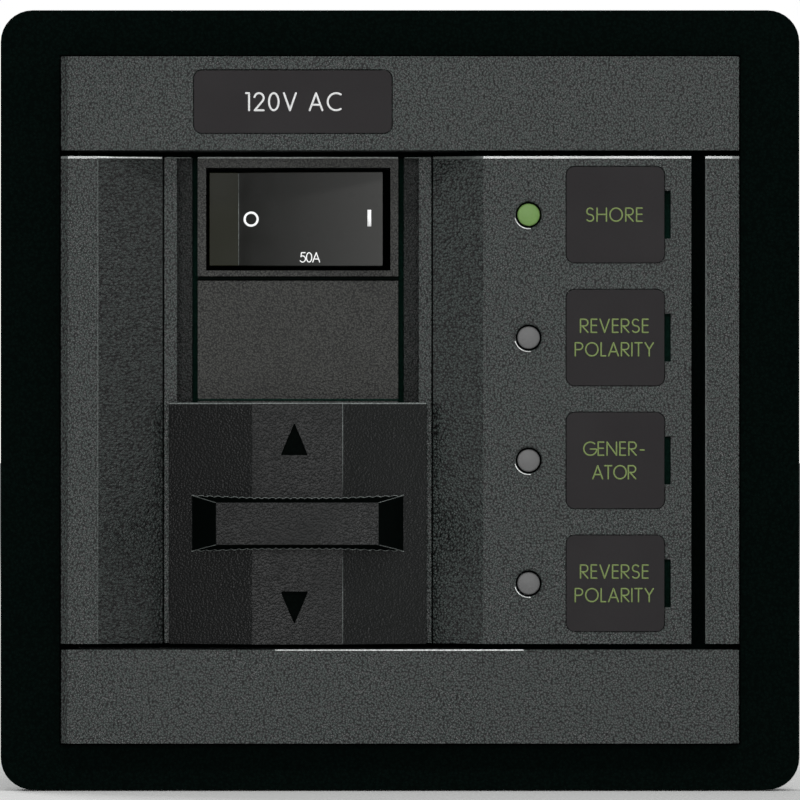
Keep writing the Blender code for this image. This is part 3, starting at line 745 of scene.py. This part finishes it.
def panel_mouldings():
    bezel()
    softened("top_rail_cover", 0.16)
    softened("bottom_rail_cover", 0.16)
    shade_slope(chamfered("left_side_trim", RIDGE_ANGLE))
    chamfered("right_side_trim")
    chamfered("indicator_housing")
    low, high = box("bottom_rail_cover")
    glint("rail_glint", (-19.5, 19.3), (low.y, high.z + 0.02), 0.2, PALE_HIGHLIGHT, "bottom_rail_cover")
    carrier()
    softened("title_plate", 0.1)
    softened("indicator_back_cover", 0.15)
    for number in range(1, 5):
        softened(f"legend_plate_{number}", 0.1)
    left_trim_lines()
    low, high = box("right_side_trim")
    highlight_line("right_trim_edge", (low.x + 0.1, low.y), 0.12, (low.z + 0.4, high.z - 0.4), "right_side_trim")


def shade_slope(piece):
    """Darkens the long slope that runs down from a trim's ridge to the groove."""
    repaint(piece, SHADED, lambda face: 0.02 < face.normal.x < 0.5 and face.normal.y < -0.5
            and abs(face.normal.z) < 0.1)


def left_trim_lines():
    """Painted highlights: a line along the ridge of the left trim, and a bright line along the top edge of
    the slope beside it.
    """
    node = "left_side_trim"
    low, high = box(node)
    corners = [vertex.co / MM for vertex in frame["nodes"][node].data.vertices]
    ridge = max(corner.x for corner in corners if corner.y < low.y + 0.01)
    foot = min(corner.y for corner in corners if corner.x > high.x - 0.01)

    def slope(x):
        return low.y + (foot - low.y) * (x - ridge) / (high.x - ridge)

    highlight_line("left_trim_ridge", (ridge, low.y), 0.1, (low.z + 0.4, high.z - 0.4), node)
    top = high.z - 0.17
    printed("left_trim_glint", [[(ridge, top), (high.x - 0.2, top)]], 0.11, slope, PALE_HIGHLIGHT, node)


def bezel():
    """The bezel: dead matt in front, and satin round its sides and back."""
    piece = softened("mounting_bezel", 0.35)
    bake_modifiers(piece)
    repaint(piece, SATIN, lambda face: face.normal.y > -0.5)


def carrier():
    """The carrier; the ways between its lips, where the slide runs, are darkened with painted shade, and its
    lips carry painted highlight strips.
    """
    low, high = box("breaker_carrier")
    shelf = high.y - 1.8
    repaint(softened("breaker_carrier", 0.12), GROOVE_SHADE,
            lambda face: face.normal.y < -0.9 and face.center.y / MM > shelf)
    x = middle("lockout_slide")[0]
    for side in (-1, 1):
        span = sorted((x + side * (BOSS_HALF + 1), x + side * 20.7))
        glint(f"lip_glint_{span[0] > x:d}", span, (low.y, FIELD_HALF + 0.02), 0.14, EDGE_HIGHLIGHT, "breaker_carrier")


def blinds():
    """Dark sheets of painted shade behind the openings: round the breakers, between them, under each rocker
    and behind the legends."""
    carrier_low, carrier_high = box("breaker_carrier")
    case_low, case_high = box("upper_pole_a_case")
    x = middle("lockout_slide")[0]
    boss = BOSS_HALF + 0.05
    sheet_y = (carrier_high.y + 0.05, carrier_high.y + 0.4)
    top = case_high.z
    bottom = box("lower_pole_b_case")[0].z
    shape = bmesh.new()
    for left, right in ((case_low.x, x - boss), (x + boss, case_high.x + 1.0)):
        prism(shape, rectangle((left, right), (bottom - 3, top + 3)), sheet_y, "Y")
    for low, high in ((top + 0.03, top + 3), (bottom - 3, bottom - 0.03)):
        prism(shape, rectangle((x - boss, x + boss), (low, high)), sheet_y, "Y")
    settle(new_object("breaker_gap_shade_sheet", shape, [GAP_SHADE]), "breaker_carrier")
    shape = bmesh.new()
    for way in (1, -1):
        heights = sorted((way * (FIELD_HALF - 0.03), way * (FIELD_HALF + SEAM - 0.02)))
        prism(shape, rectangle((carrier_low.x + 0.2, carrier_high.x), heights), SEAM_SHADE_Y, "Y")
    settle(new_object("seam_shade_strips", shape, [BLACK_FILL_AND_SHADE]), "breaker_carrier")
    divider_shade = rectangle((x - BOSS_HALF - 0.06, x + BOSS_HALF + 0.06), (-0.149, 0.149))
    divider_shade_y = (case_low.y, case_high.y - 0.3)
    settle(block("breaker_divider_shade_card", divider_shade, divider_shade_y, "Y", GAP_SHADE), "breaker_carrier")
    for prefix in ("upper", "lower"):
        low, high = box(f"{prefix}_rocker")
        rocker_shade = rectangle((low.x - 1.2, high.x + 2.0), (low.z - 0.4, high.z + 0.4))
        piece = block(f"{prefix}_rocker_shade_sheet", rocker_shade, ROCKER_SHADE_Y, "Y", BLACK_FILL_AND_SHADE)
        settle(piece, f"{prefix}_pole_a_case")
    low, high = box("legend_plate_1")
    legend_shade = rectangle((low.x, high.x + 2.2), (box("legend_plate_4")[0].z, high.z))
    back = box("indicator_lens_1")[1].y - 0.25
    settle(block("legend_shade_sheet", legend_shade, (back - 0.3, back), "Y", GAP_SHADE), "indicator_housing")


def rectangle(x, z):
    return [(x[0], z[0]), (x[1], z[0]), (x[1], z[1]), (x[0], z[1])]


def flat_at(y):
    return lambda x: y


def middle(node):
    low, high = box(node)
    return (low.x + high.x) / 2, (low.z + high.z) / 2


def title():
    height, stroke = TITLE_TYPE
    strokes = letter_strokes("120V AC", height, stroke, middle("title_plate"), TITLE_WIDTH)
    face = flat_at(box("title_plate")[0].y)
    printed("title_print", strokes, stroke / 2, face, WHITE_INK, "title_plate")


def legends():
    height, stroke = LEGEND_TYPE
    for number, lines in enumerate(LEGENDS, 1):
        node = f"legend_plate_{number}"
        x, z = middle(node)
        strokes = []
        for i, (text, width) in enumerate(lines):
            line_z = z + LEGEND_PITCH * ((len(lines) - 1) / 2 - i)
            strokes += letter_strokes(text, height, stroke, (x - LEGEND_SHIFT, line_z), width)
        printed(f"legend_print_{number}", strokes, stroke / 2, flat_at(box(node)[0].y), GREEN_INK, node)


def lenses():
    """Shallow domed lenses with a rounded rim; behind the rim they are painted black, as shade in the gap
    round the lens.
    """
    for number in range(1, 5):
        node = f"indicator_lens_{number}"
        low, high = box(node)
        flange, thick = (high.x - low.x) / 2, 0.4
        rim, crown = 0.22, 0.12
        profile = [(0.0, low.y), (LENS_RADIUS * 0.45, low.y + crown * 0.2)]
        profile.append((LENS_RADIUS - rim, low.y + crown))
        profile += arc((LENS_RADIUS - rim, low.y + crown + rim), rim, -80, 0, 5)
        profile += [(LENS_RADIUS, high.y - thick), (flange, high.y - thick), (flange, high.y), (0.0, high.y)]
        shape = bmesh.new()
        lathe(shape, middle(node), profile)
        # behind the rim: painted shade, black
        for face in shape.faces:
            if face.calc_center_median().y / MM > low.y + crown + rim + 0.05:
                face.material_index = 1
        piece = new_object(f"{node}_dome", shape, [FINISHES[FINISH_NAMES[node]], BLACK_FILL_AND_SHADE])
        settle(piece, node, node)
        lens_collar(number)


def lens_collar(number):
    """A fine raised collar round a lamp hole, with a painted highlight crescent low on its left."""
    face_y = box("indicator_housing")[0].y
    inner, outer = LAMP_HOLE, LAMP_HOLE + 0.24
    rise = (outer - inner) * LEAN
    profile = [(inner, face_y + 0.3), (inner, face_y), (outer, face_y - rise),
               (outer + 0.06, face_y - rise), (outer + 0.1, face_y + 0.05)]
    centre = middle(f"indicator_lens_{number}")
    shape = bmesh.new()
    rings = [add_points(shape, arc(centre, radius, 0, 360, 48)[:-1], y) for radius, y in profile]
    skin(shape, [*rings, rings[0]])
    settle(new_object(f"lamp_collar_{number}", shape, [FINISHES["textured_plastic"]]), "indicator_housing")
    glow = arc(centre, (inner + outer) / 2 + 0.05, 195, 277, 24)
    surface = flat_at(face_y - rise)
    printed(f"lamp_crescent_{number}", [glow], 0.065, surface, PALE_HIGHLIGHT, "indicator_housing")


# --- slide ---

def slide_plate():
    """The plate with its ridges, legs and engraved arrows."""
    node = "lockout_slide"
    low, high = box(node)
    x, z = middle(node)
    shape = bmesh.new()
    outline = [(x + reach, y) for reach, y in slide_section()]
    outline += [(x - reach, y) for reach, y in reversed(slide_section())]
    prism(shape, outline, (low.z, high.z), "Z")
    bmesh.ops.recalc_face_normals(shape, faces=shape.faces)
    lean_back(shape, high.z, 0.2)
    plate = new_object("lockout_slide_plate", shape, [FINISHES["slide_plastic"], BLACK_FILL_AND_SHADE])
    cut = bmesh.new()
    for way in (1, -1):
        base = z + way * ARROW_FROM_MIDDLE
        tip_x = x - 0.5
        points = [(tip_x - ARROW_HALF, base), (tip_x + ARROW_HALF, base), (tip_x, base + way * ARROW_HEIGHT)]
        prism(cut, points[::way], (SLIDE_FACE_Y - 1, SLIDE_FACE_Y + ARROW_DEPTH), "Y")
    carve(plate, new_object("arrow_cutter", cut, [BLACK_FILL_AND_SHADE]))
    # a painted highlight along the plate's top edge
    repaint(plate, EDGE_HIGHLIGHT, faces_top)
    round_over(plate, 0.08, 1, RIDGE_ANGLE)
    settle(plate, node, node)
    grip()
    ridge = x + SLIDE_FLAT_HALF
    highlight_line("slide_ridge", (ridge, SLIDE_FACE_Y), 0.14, (low.z + 0.2, high.z - 0.2), node, (z, 5.2))


def slide_section():
    """The right half of the plate's section, as (distance from the middle, y)."""
    low, high = box("lockout_slide")
    half = (high.x - low.x) / 2
    leg = half - 0.3
    inside = leg - SLIDE_LEG
    front, back = SLIDE_WING_Y
    return [
        (SLIDE_FLAT_HALF - 0.2, SLIDE_FACE_Y + SLIDE_WALL), (inside, front + 0.8),
        (inside, high.y), (leg, high.y), (half, back), (half, front), (SLIDE_FLAT_HALF, SLIDE_FACE_Y),
    ]


def plate_y(x):
    """The front of the slide's plate across the panel."""
    middle_x = middle("lockout_slide")[0]
    (edge, edge_y), (ridge, ridge_y) = slide_section()[-2:]
    beyond = max(0.0, abs(x - middle_x) - ridge)
    return ridge_y + (edge_y - ridge_y) * beyond / (edge - ridge)


def grip_point(edge, share, depth):
    """A point on the grip's flank. edge is 1 for the top flank and -1 for the bottom; share runs
    from -1 to 1 along it, and depth from 0 at the front to 1 on the plate."""
    x, z = middle("lockout_slide")
    front = box("lockout_slide")[0].y
    foot = plate_y(x + GRIP_HALF[0] * share)
    y = front + (foot - front) * depth
    down = (y - front) / (GRIP_FOOT_Y - front)
    half = GRIP_HALF[1] + (GRIP_HALF[0] - GRIP_HALF[1]) * down
    height = GRIP_HEIGHT[1] + (GRIP_HEIGHT[0] - GRIP_HEIGHT[1]) * down
    wave = abs(math.sin(math.pi * GRIP_HALF[0] * share / FLUTE_PITCH))
    flute = FLUTE_DEPTH * (1 - wave) * min(1.0, depth) ** 0.7
    return x + half * share, y, z + edge * (height / 2 - flute)


def grip():
    """A bar with sloping ends and fluted flanks painted near black as shade, painted highlight on its rounded
    edges, and a painted highlight line round its foot.
    """
    node = "lockout_slide"
    steps = 10 * round(2 * GRIP_HALF[0] / FLUTE_PITCH)
    places = [(edge, edge * (1 - 2 * i / steps)) for edge in (1, -1) for i in range(steps + 1)]
    shape = bmesh.new()
    rings = []
    for depth in (0.0, 0.25, 0.5, 0.75, 1.0, 1.06):
        points = [grip_point(edge, share, depth) for edge, share in places]
        rings.append([shape.verts.new([MM * c for c in point]) for point in points])
    skin(shape, rings)
    # the flanks get painted shade, near black
    for face in shape.faces:
        face.material_index = 1
    shape.faces.new(rings[0])
    shape.faces.new(rings[-1])
    piece = new_object("lockout_slide_grip", shape, [FINISHES["slide_plastic"], BLACK_FILL_AND_SHADE, EDGE_HIGHLIGHT])
    # the rounded edges get a painted highlight
    round_over(piece, 0.07, 2, GRIP_EDGE_ANGLE).modifiers["edges"].material = 2
    bake_modifiers(piece)
    front = box(node)[0].y + 0.15
    for face in piece.data.polygons:
        if face.center.y / MM < front:
            face.material_index = 0
    settle(piece, node)
    feet = [[], []]
    for edge, share in places:
        x, _, z = grip_point(edge, share, 1.0)
        feet[edge > 0].append((x, z))
    printed("grip_foot_line", feet, 0.07, plate_y, EDGE_HIGHLIGHT, node)


def glint(name, span, edge, width, material, node):
    """A strip along a top front edge at (y, z), tilted up to catch the light and coloured as a painted
    highlight, over a span of x.
    """
    y, z = edge
    lean = width * LEAN
    section = [(y - 0.02 - lean, z - width), (y - 0.02, z), (y + 0.2, z), (y + 0.2, z - width)]
    fit(block(name, section, span, "X", material), node)


def highlight_line(name, place, width, span, node, gap=None):
    """A painted highlight line along a moulded edge at (x, y), over a span of z, left out over a gap given as
    (middle, half height)."""
    x, y = place
    half = width / 2
    section = [(x - half, y + half), (x - half / 2, y - 0.03), (x + half / 2, y - 0.03), (x + half, y + half)]
    shape = bmesh.new()
    spans = [span]
    if gap:
        spans = [(span[0], gap[0] - gap[1]), (gap[0] + gap[1], span[1])]
    for part in spans:
        prism(shape, section, part, "Z")
    return settle(new_object(name, shape, [EDGE_HIGHLIGHT]), node)


# --- breakers ---

def rocker_face_y(x, low, high):
    """The height of the rocker's face across the panel."""
    t = max(0.0, (x - low.x - ROCKER_FACET) / (high.x - low.x - ROCKER_FACET))
    return ROCKER_LOW_Y + (low.y - ROCKER_LOW_Y) * t + ROCKER_SAG * 4 * t * (1 - t)


def rocker(prefix):
    """The rocker: a flat facet at its pressed end, a hollow face, and a rounded underside."""
    node = f"{prefix}_rocker"
    low, high = box(node)
    x, z = middle(node)
    steps = 28
    outline = [(low.x, ROCKER_LOW_Y)]
    for i in range(steps + 1):
        across = low.x + ROCKER_FACET + (high.x - low.x - ROCKER_FACET) * i / steps
        outline.append((across, rocker_face_y(across, low, high)))
    pivot = (x + PIVOT[0], PIVOT[1])
    outline += [(high.x - 0.5, -5.2), (x + 4.5, -1.4)]
    outline += arc(pivot, PIVOT_RADIUS + 1, 20, 160, 8)
    outline += [(x - 4.5, -1.4), (low.x + 0.7, -4.4)]
    shape = bmesh.new()
    half = ROCKER_HEIGHT / 2
    prism(shape, outline, (z - half, z + half), "Z")
    # the sunken facet gets the painted shade
    for face in shape.faces:
        centre = face.calc_center_median() / MM
        if centre.x < low.x + ROCKER_FACET and centre.y < ROCKER_LOW_Y + 0.05:
            face.material_index = 1
    piece = new_object(f"{node}_cap", shape, [FINISHES["rocker_plastic"], FACET_SHADE])
    round_over(piece, 0.14, 3, 30)
    settle(piece, node, node)
    rim = arc(pivot, PIVOT_RADIUS, 0, 360, 24)[:-1]
    settle(block(f"{node}_pin", rim, (low.z, high.z), "Z", BLACK_FILL_AND_SHADE), node)
    # a painted highlight line along the crease between the facet and the hollow face
    crease = low.x + ROCKER_FACET
    highlight_line(f"{node}_crease", (crease, ROCKER_LOW_Y), 0.16, (z - half + 0.15, z + half - 0.15), node)
    rocker_marks(prefix, node, low, high, z)


def rocker_marks(prefix, node, low, high, z):
    """The marks for off and on, and the rating, printed on the hollow face."""
    def face(x):
        return rocker_face_y(x, low, high)

    radius, stroke = O_MARK
    circle = arc((O_X, z), radius, 0, 360, 32)
    printed(f"{prefix}_rocker_o", [circle], stroke / 2, face, BRIGHT_INK, node)
    height, width = I_MARK
    i_x, i_z = I_PLACE[0], z + I_PLACE[1]
    mark_y = face(i_x) - INK
    bar = rectangle((i_x - width / 2, i_x + width / 2), (i_z - height / 2, i_z + height / 2))
    piece = block(f"{prefix}_rocker_i", bar, (mark_y, mark_y + 2 * INK), "Y", BRIGHT_INK)
    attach(piece, body_name(node))
    height, stroke = RATING_TYPE
    place = (RATING_PLACE[0], z + RATING_PLACE[1])
    strokes = letter_strokes("50A", height, stroke, place, RATING_WIDTH)
    printed(f"{prefix}_rocker_rating", strokes, stroke / 2, face, BRIGHT_INK, node)


def case(prefix, pole):
    """One pole's moulding, with the fins, rivets and vents on its faces behind the panel."""
    node = f"{prefix}_pole_{pole}_case"
    softened(node, 0.25)
    low, high = box(node)
    front = CASE_FRONT_Y
    outward = 1 if pole == "a" else -1
    flank_z = high.z if pole == "a" else low.z
    fins = bmesh.new()
    for x in FIN_PLACES:
        prism(fins, rectangle((x - FIN / 2, x + FIN / 2), (low.z + 1.2, high.z - 1.2)),
              (high.y - 0.3, high.y + FIN_REACH), "Y")
    for x in (low.x, high.x):
        side = 1 if x > 0 else -1
        relief = sorted((x - side * RELIEF, x + side * (RELIEF + 0.05)))
        for i in range(VENTS):
            vent_y = front + VENTS_FROM_FRONT + VENT_PITCH * i
            prism(fins, rectangle((vent_y, vent_y + VENT), (low.z + 4, high.z - 4)), relief, "X")
        prism(fins, rectangle((front + 3, front + 3.8), (low.z + 2.5, high.z - 2.5)), relief, "X")
    ribs = new_object(f"{node}_ribs", fins, [FINISHES["breaker_plastic"]])
    settle(round_over(ribs, 0.15, 2), node)
    if abs(flank_z) > 30:
        flank(node, low, high, flank_z, outward)


def flank(node, low, high, z, outward):
    """The outer flank of a breaker: a raised frame, and the tubular rivets that close it."""
    near, far = CASE_FRONT_Y + FRAME_Y[0], high.y + FRAME_Y[1]
    left, right = low.x + FRAME_X, high.x - FRAME_X
    frame_shape = bmesh.new()
    bars = (
        ((left, right), (near - FRAME_BAR, near)), ((left, right), (far, far + FRAME_BAR)),
        ((left, left + FRAME_BAR), (near, far)), ((right - FRAME_BAR, right), (near, far)),
    )
    heights = (z - RELIEF, z + RELIEF)
    for across, along in bars:
        prism(frame_shape, rectangle(across, along), heights, "Z")
    settle(new_object(f"{node}_flank_frame", frame_shape, [FINISHES["breaker_plastic"]]), node)
    rivets = bmesh.new()
    back = high.y - RIVET_INSET
    places = [(x, y) for x in (low.x + RIVET_INSET, high.x - RIVET_INSET) for y in (CASE_FRONT_Y + 4.5, back)]
    dome = [(0.0, 0.02), (0.75, 0.02), (0.85, 0.3), (1.15, 0.45), (1.5, 0.32), (1.65, -0.2), (0.0, -0.2)]
    profile = [(radius, z + outward * height) for radius, height in dome]
    for place in [*places, ((low.x + high.x) / 2, back)]:
        lathe(rivets, place, profile, 24, "Z")
    fit(new_object(f"{node}_rivets", rivets, [FINISHES["screw_steel"]]), node)


def header_pins():
    """The lamp board's wire header: two rows of square pins inside a shroud."""
    node = "indicator_circuit_board"
    back = box(node)[1].y
    x = middle("indicator_screw_1")[0]
    shape = bmesh.new()
    for row in (-1, 1):
        for i in range(HEADER_PINS):
            pin_x, pin_z = x + PIN_ROW_HALF * row, PIN_PITCH * (i - (HEADER_PINS - 1) / 2)
            pin = rectangle((pin_x - PIN_HALF, pin_x + PIN_HALF), (pin_z - PIN_HALF, pin_z + PIN_HALF))
            prism(shape, pin, (back - 0.5, back + 3.2), "Y")
    pins = new_object("header_pins", shape, [FINISHES["brass"]])
    fit(round_over(pins, 0.1, 2), node)
    out, up = SHROUD_HALF
    inner, below = out - SHROUD_WALL, up - SHROUD_WALL
    shroud = bmesh.new()
    for x_span, z_span in (
            ((x - out, x - inner), (-up, up)), ((x + inner, x + out), (-up, up)),
            ((x - inner, x + inner), (below, up)), ((x - inner, x + inner), (-up, -below))):
        prism(shroud, rectangle(x_span, z_span), (back - 0.2, back + 3.8), "Y")
    piece = new_object("header_shroud", shroud, [FINISHES["insert_plastic"]])
    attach(round_over(piece, 0.12, 2), body_name(node))


def around(centre, reaches):
    """Points at even angles round a centre, one for each distance from it."""
    points = []
    for i, reach in enumerate(reaches):
        angle = 2 * math.pi * i / len(reaches)
        points.append((centre[0] + reach * math.cos(angle), centre[1] + reach * math.sin(angle)))
    return points


def threaded(shape, centre, radius, depth, pitch, span):
    """Adds a rod with a screw thread along Y, with a chamfered end at the span's far end."""
    sides = 28
    rows = max(4, round(6 * abs(span[1] - span[0]) / pitch))
    rings = []
    for row in range(rows + 1):
        y = span[0] + (span[1] - span[0]) * row / rows
        reaches = []
        for i in range(sides):
            turn = (abs(y - span[0]) / pitch + i / sides) % 1.0
            groove = depth * min(1.0, abs(2 * turn - 1) * 1.3)
            reaches.append(min(radius - groove, radius - depth * 1.2 + abs(span[1] - y)))
        rings.append(add_points(shape, around(centre, reaches), y))
    capped_skin(shape, rings)


def hex_nut(shape, centre, radius, span):
    """Adds a hexagon nut along Y, chamfered at both ends."""
    flat = radius * math.cos(math.pi / 6)
    sides = 48
    angles = [2 * math.pi * i / sides for i in range(sides)]
    reaches = [flat / math.cos(angle % (math.pi / 3) - math.pi / 6) for angle in angles]
    rings = []
    for level, y, way in ((0, span[0], 0), (1, span[0], 1), (1, span[1], -1), (0, span[1], 0)):
        ring = add_points(shape, around(centre, reaches if level else [flat * 0.98] * sides), y)
        for vertex, reach in zip(ring, reaches):
            vertex.co.y += way * ((reach - flat) * math.tan(math.radians(30)) + 0.02) * MM
        rings.append(ring)
    capped_skin(shape, rings)


def stud_hardware(node):
    """A terminal: its strap inside the case, and its threaded stud, washers and nut behind."""
    end = box(node)[1].y
    case_back = box("upper_pole_a_case")[1].y
    shape = cad_shape(node)
    plane = bmesh.ops.bisect_plane(
        shape, geom=[*shape.verts, *shape.edges, *shape.faces], dist=WELD,
        plane_co=(0, (case_back + 0.1) * MM, 0), plane_no=(0, 1, 0), clear_outer=True)
    cut = [item for item in plane["geom_cut"] if isinstance(item, bmesh.types.BMEdge)]
    bmesh.ops.holes_fill(shape, edges=cut)
    place = (stud_x(node), middle(node)[1])
    threaded(shape, place, STUD_RADIUS, 0.22, 0.8, (case_back - 1.0, end))
    rim, front, back = WASHER_RADIUS, case_back + 0.3, case_back + 1.3
    washer = [(0.0, front), (rim - 0.1, front), (rim, front + 0.1),
              (rim, back - 0.1), (rim - 0.1, back), (0.0, back)]
    lathe(shape, place, washer)
    hex_nut(shape, place, NUT_RADIUS, (back + 0.05, case_back + 4.6))
    piece = new_object(f"{node}_hardware", shape, [FINISHES["brass"]])
    piece.data.set_sharp_from_angle(angle=math.radians(32))
    settle(piece, node, node)


def stud_x(node):
    """The middle of a terminal's stud: the middle of what stands behind the case."""
    back = box(node)[1].y - 0.01
    places = [v.co.x / MM for v in frame["nodes"][node].data.vertices if v.co.y / MM > back]
    return (min(places) + max(places)) / 2


def breakers():
    node = "upper_pole_a_case"
    low, high = box(node)
    x = middle("lockout_slide")[0]
    span = (x - BOSS_HALF + 0.05, x + BOSS_HALF - 0.05)
    glint("upper_brow_glint", span, (low.y, high.z + 0.14), 0.2, BRIGHT_HIGHLIGHT, node)
    for prefix in ("upper", "lower"):
        rocker(prefix)
        for pole in ("a", "b"):
            case(prefix, pole)
            stud_hardware(f"{prefix}_line_terminal_{pole}")
            stud_hardware(f"{prefix}_load_terminal_{pole}")


# --- screws ---

def pan_screw(node):
    """A pan-head screw with a domed head, a cross recess and a thread."""
    low, high = box(node)
    place = middle(node)
    radius = (high.x - low.x) / 2
    backwards = node.startswith("indicator")
    head = high.y if backwards else low.y
    tip = low.y if backwards else high.y
    way = 1 if tip > head else -1
    deep = radius * 0.6
    shape = bmesh.new()
    profile = [(0.0, head)]
    for share in (0.3, 0.55, 0.75, 0.88, 0.96, 1.0):
        drop = 1 - math.sqrt(max(0.0, 1 - (share * 0.92) ** 2))
        profile.append((radius * share, head + way * deep * drop))
    base = head + way * deep
    profile += [(radius, head + way * deep * 0.95), (radius * 0.97, base), (0.0, base)]
    lathe(shape, place, profile)
    piece = new_object(f"{node}_metal", shape, [FINISHES["screw_steel"]])
    cut = bmesh.new()
    arm, wide = radius * 0.58, radius * 0.11
    x, z = place
    for across, up in ((arm, wide), (wide, arm)):
        slot = rectangle((x - across, x + across), (z - up, z + up))
        prism(cut, slot, sorted((head - way, head + way * deep * 0.75)), "Y")
    carve(piece, new_object("cross_cutter", cut, [FINISHES["screw_steel"]]))
    rod = bmesh.new()
    rod.from_mesh(piece.data)
    shank = {"mounting": 2.0, "breaker_": 1.25}.get(node[:8], 1.15)
    threaded(rod, place, shank, shank * 0.1, shank * 0.36, (head + way * deep * 0.9, tip))
    rod.to_mesh(piece.data)
    rod.free()
    piece.data.shade_smooth()
    piece.data.set_sharp_from_angle(angle=math.radians(35))
    return settle(piece, node, node)


def screws():
    for node in frame["nodes"]:
        if "screw" in node:
            pan_screw(node)


# --- stage ---

def floor():
    height = cad_bounds[0].z - 0.0002
    reach = (-9.0, 9.0)
    shape = bmesh.new()
    shape.faces.new([shape.verts.new((x, y, height)) for x, y in rectangle(reach, reach)])
    finish = Finish("pale_floor", 0.6, 0.2)
    finish.colour(finish.colours(finish.noise(120.0, 3.0), (0.72, 0.72, 0.71), (0.78, 0.78, 0.77)))
    plane = new_object("floor", shape, [finish.material])


def area_light(name, place, size, power, aim_x=0.0):
    """A soft rectangular light that faces the panel at a station across it."""
    data = bpy.data.lights.new(name, "AREA")
    data.shape = "RECTANGLE"
    data.size, data.size_y = size
    data.energy = power
    lamp = bpy.data.objects.new(name, data)
    lamp.location = place
    sight = Vector((aim_x, 0.0, 0.0)) - Vector(place)
    lamp.rotation_euler = sight.to_track_quat("-Z", "Y").to_euler()
    lamp.visible_camera = False
    bpy.context.scene.collection.objects.link(lamp)


def studio():
    """Soft lights all round, and a world that is white to the camera and dim to the rest."""
    area_light("front_softbox", (-0.08, -2.1, 0.2), (0.9, 0.9), 25.0)
    area_light("overhead_strip", (0.45, -0.75, 1.0), (1.5, 0.1), 9.0, 0.45)
    area_light("right_fill", (1.6, -0.3, 0.3), (0.8, 1.2), 11.0)
    area_light("left_fill", (-1.6, -0.6, 0.3), (0.8, 1.2), 4.5)
    area_light("back_fill", (-1.2, 1.6, 1.2), (1.2, 1.2), 26.0)
    world = bpy.data.worlds.new("pale_world")
    world.use_nodes = True
    bpy.context.scene.world = world
    tree = world.node_tree
    shine = tree.nodes["Background"]
    shine.inputs["Color"].default_value = (0.95, 0.98, 1.0, 1.0)
    shine.inputs["Strength"].default_value = 0.25
    seen = tree.nodes.new("ShaderNodeBackground")
    seen.inputs["Color"].default_value = (1.0, 1.0, 1.0, 1.0)
    path = tree.nodes.new("ShaderNodeLightPath")
    mix = tree.nodes.new("ShaderNodeMixShader")
    tree.links.new(path.outputs["Is Camera Ray"], mix.inputs["Fac"])
    tree.links.new(shine.outputs["Background"], mix.inputs[1])
    tree.links.new(seen.outputs["Background"], mix.inputs[2])
    tree.links.new(mix.outputs["Shader"], tree.nodes["World Output"].inputs["Surface"])
    bpy.context.scene.view_settings.view_transform = "Standard"


def camera():
    """Square on to the panel, which fills the frame's width."""
    low, high = cad_bounds
    data = bpy.data.cameras.new("camera")
    data.sensor_width = 36.0
    data.lens = 500.0
    view_width = (high.x - low.x) * 1.0016
    bezel_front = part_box("mounting_bezel")[0].y
    distance = view_width * data.lens / data.sensor_width
    eye = bpy.data.objects.new("camera", data)
    eye.location = ((low.x + high.x) / 2, bezel_front - distance, (low.z + high.z) / 2)
    eye.rotation_euler = (math.radians(90), 0.0, 0.0)
    data.clip_end = 40.0
    bpy.context.scene.collection.objects.link(eye)
    bpy.context.scene.camera = eye


def finish_cad_nodes():
    """The CAD nodes that stay in sight, or inside, get the same finishes."""
    for node, piece in frame["nodes"].items():
        piece.data.materials[0] = FINISHES[FINISH_NAMES[node]]


def build():
    camera()
    studio()
    floor()
    finish_cad_nodes()
    panel_mouldings()
    blinds()
    title()
    legends()
    lenses()
    slide_plate()
    breakers()
    header_pins()
    screws()


build()
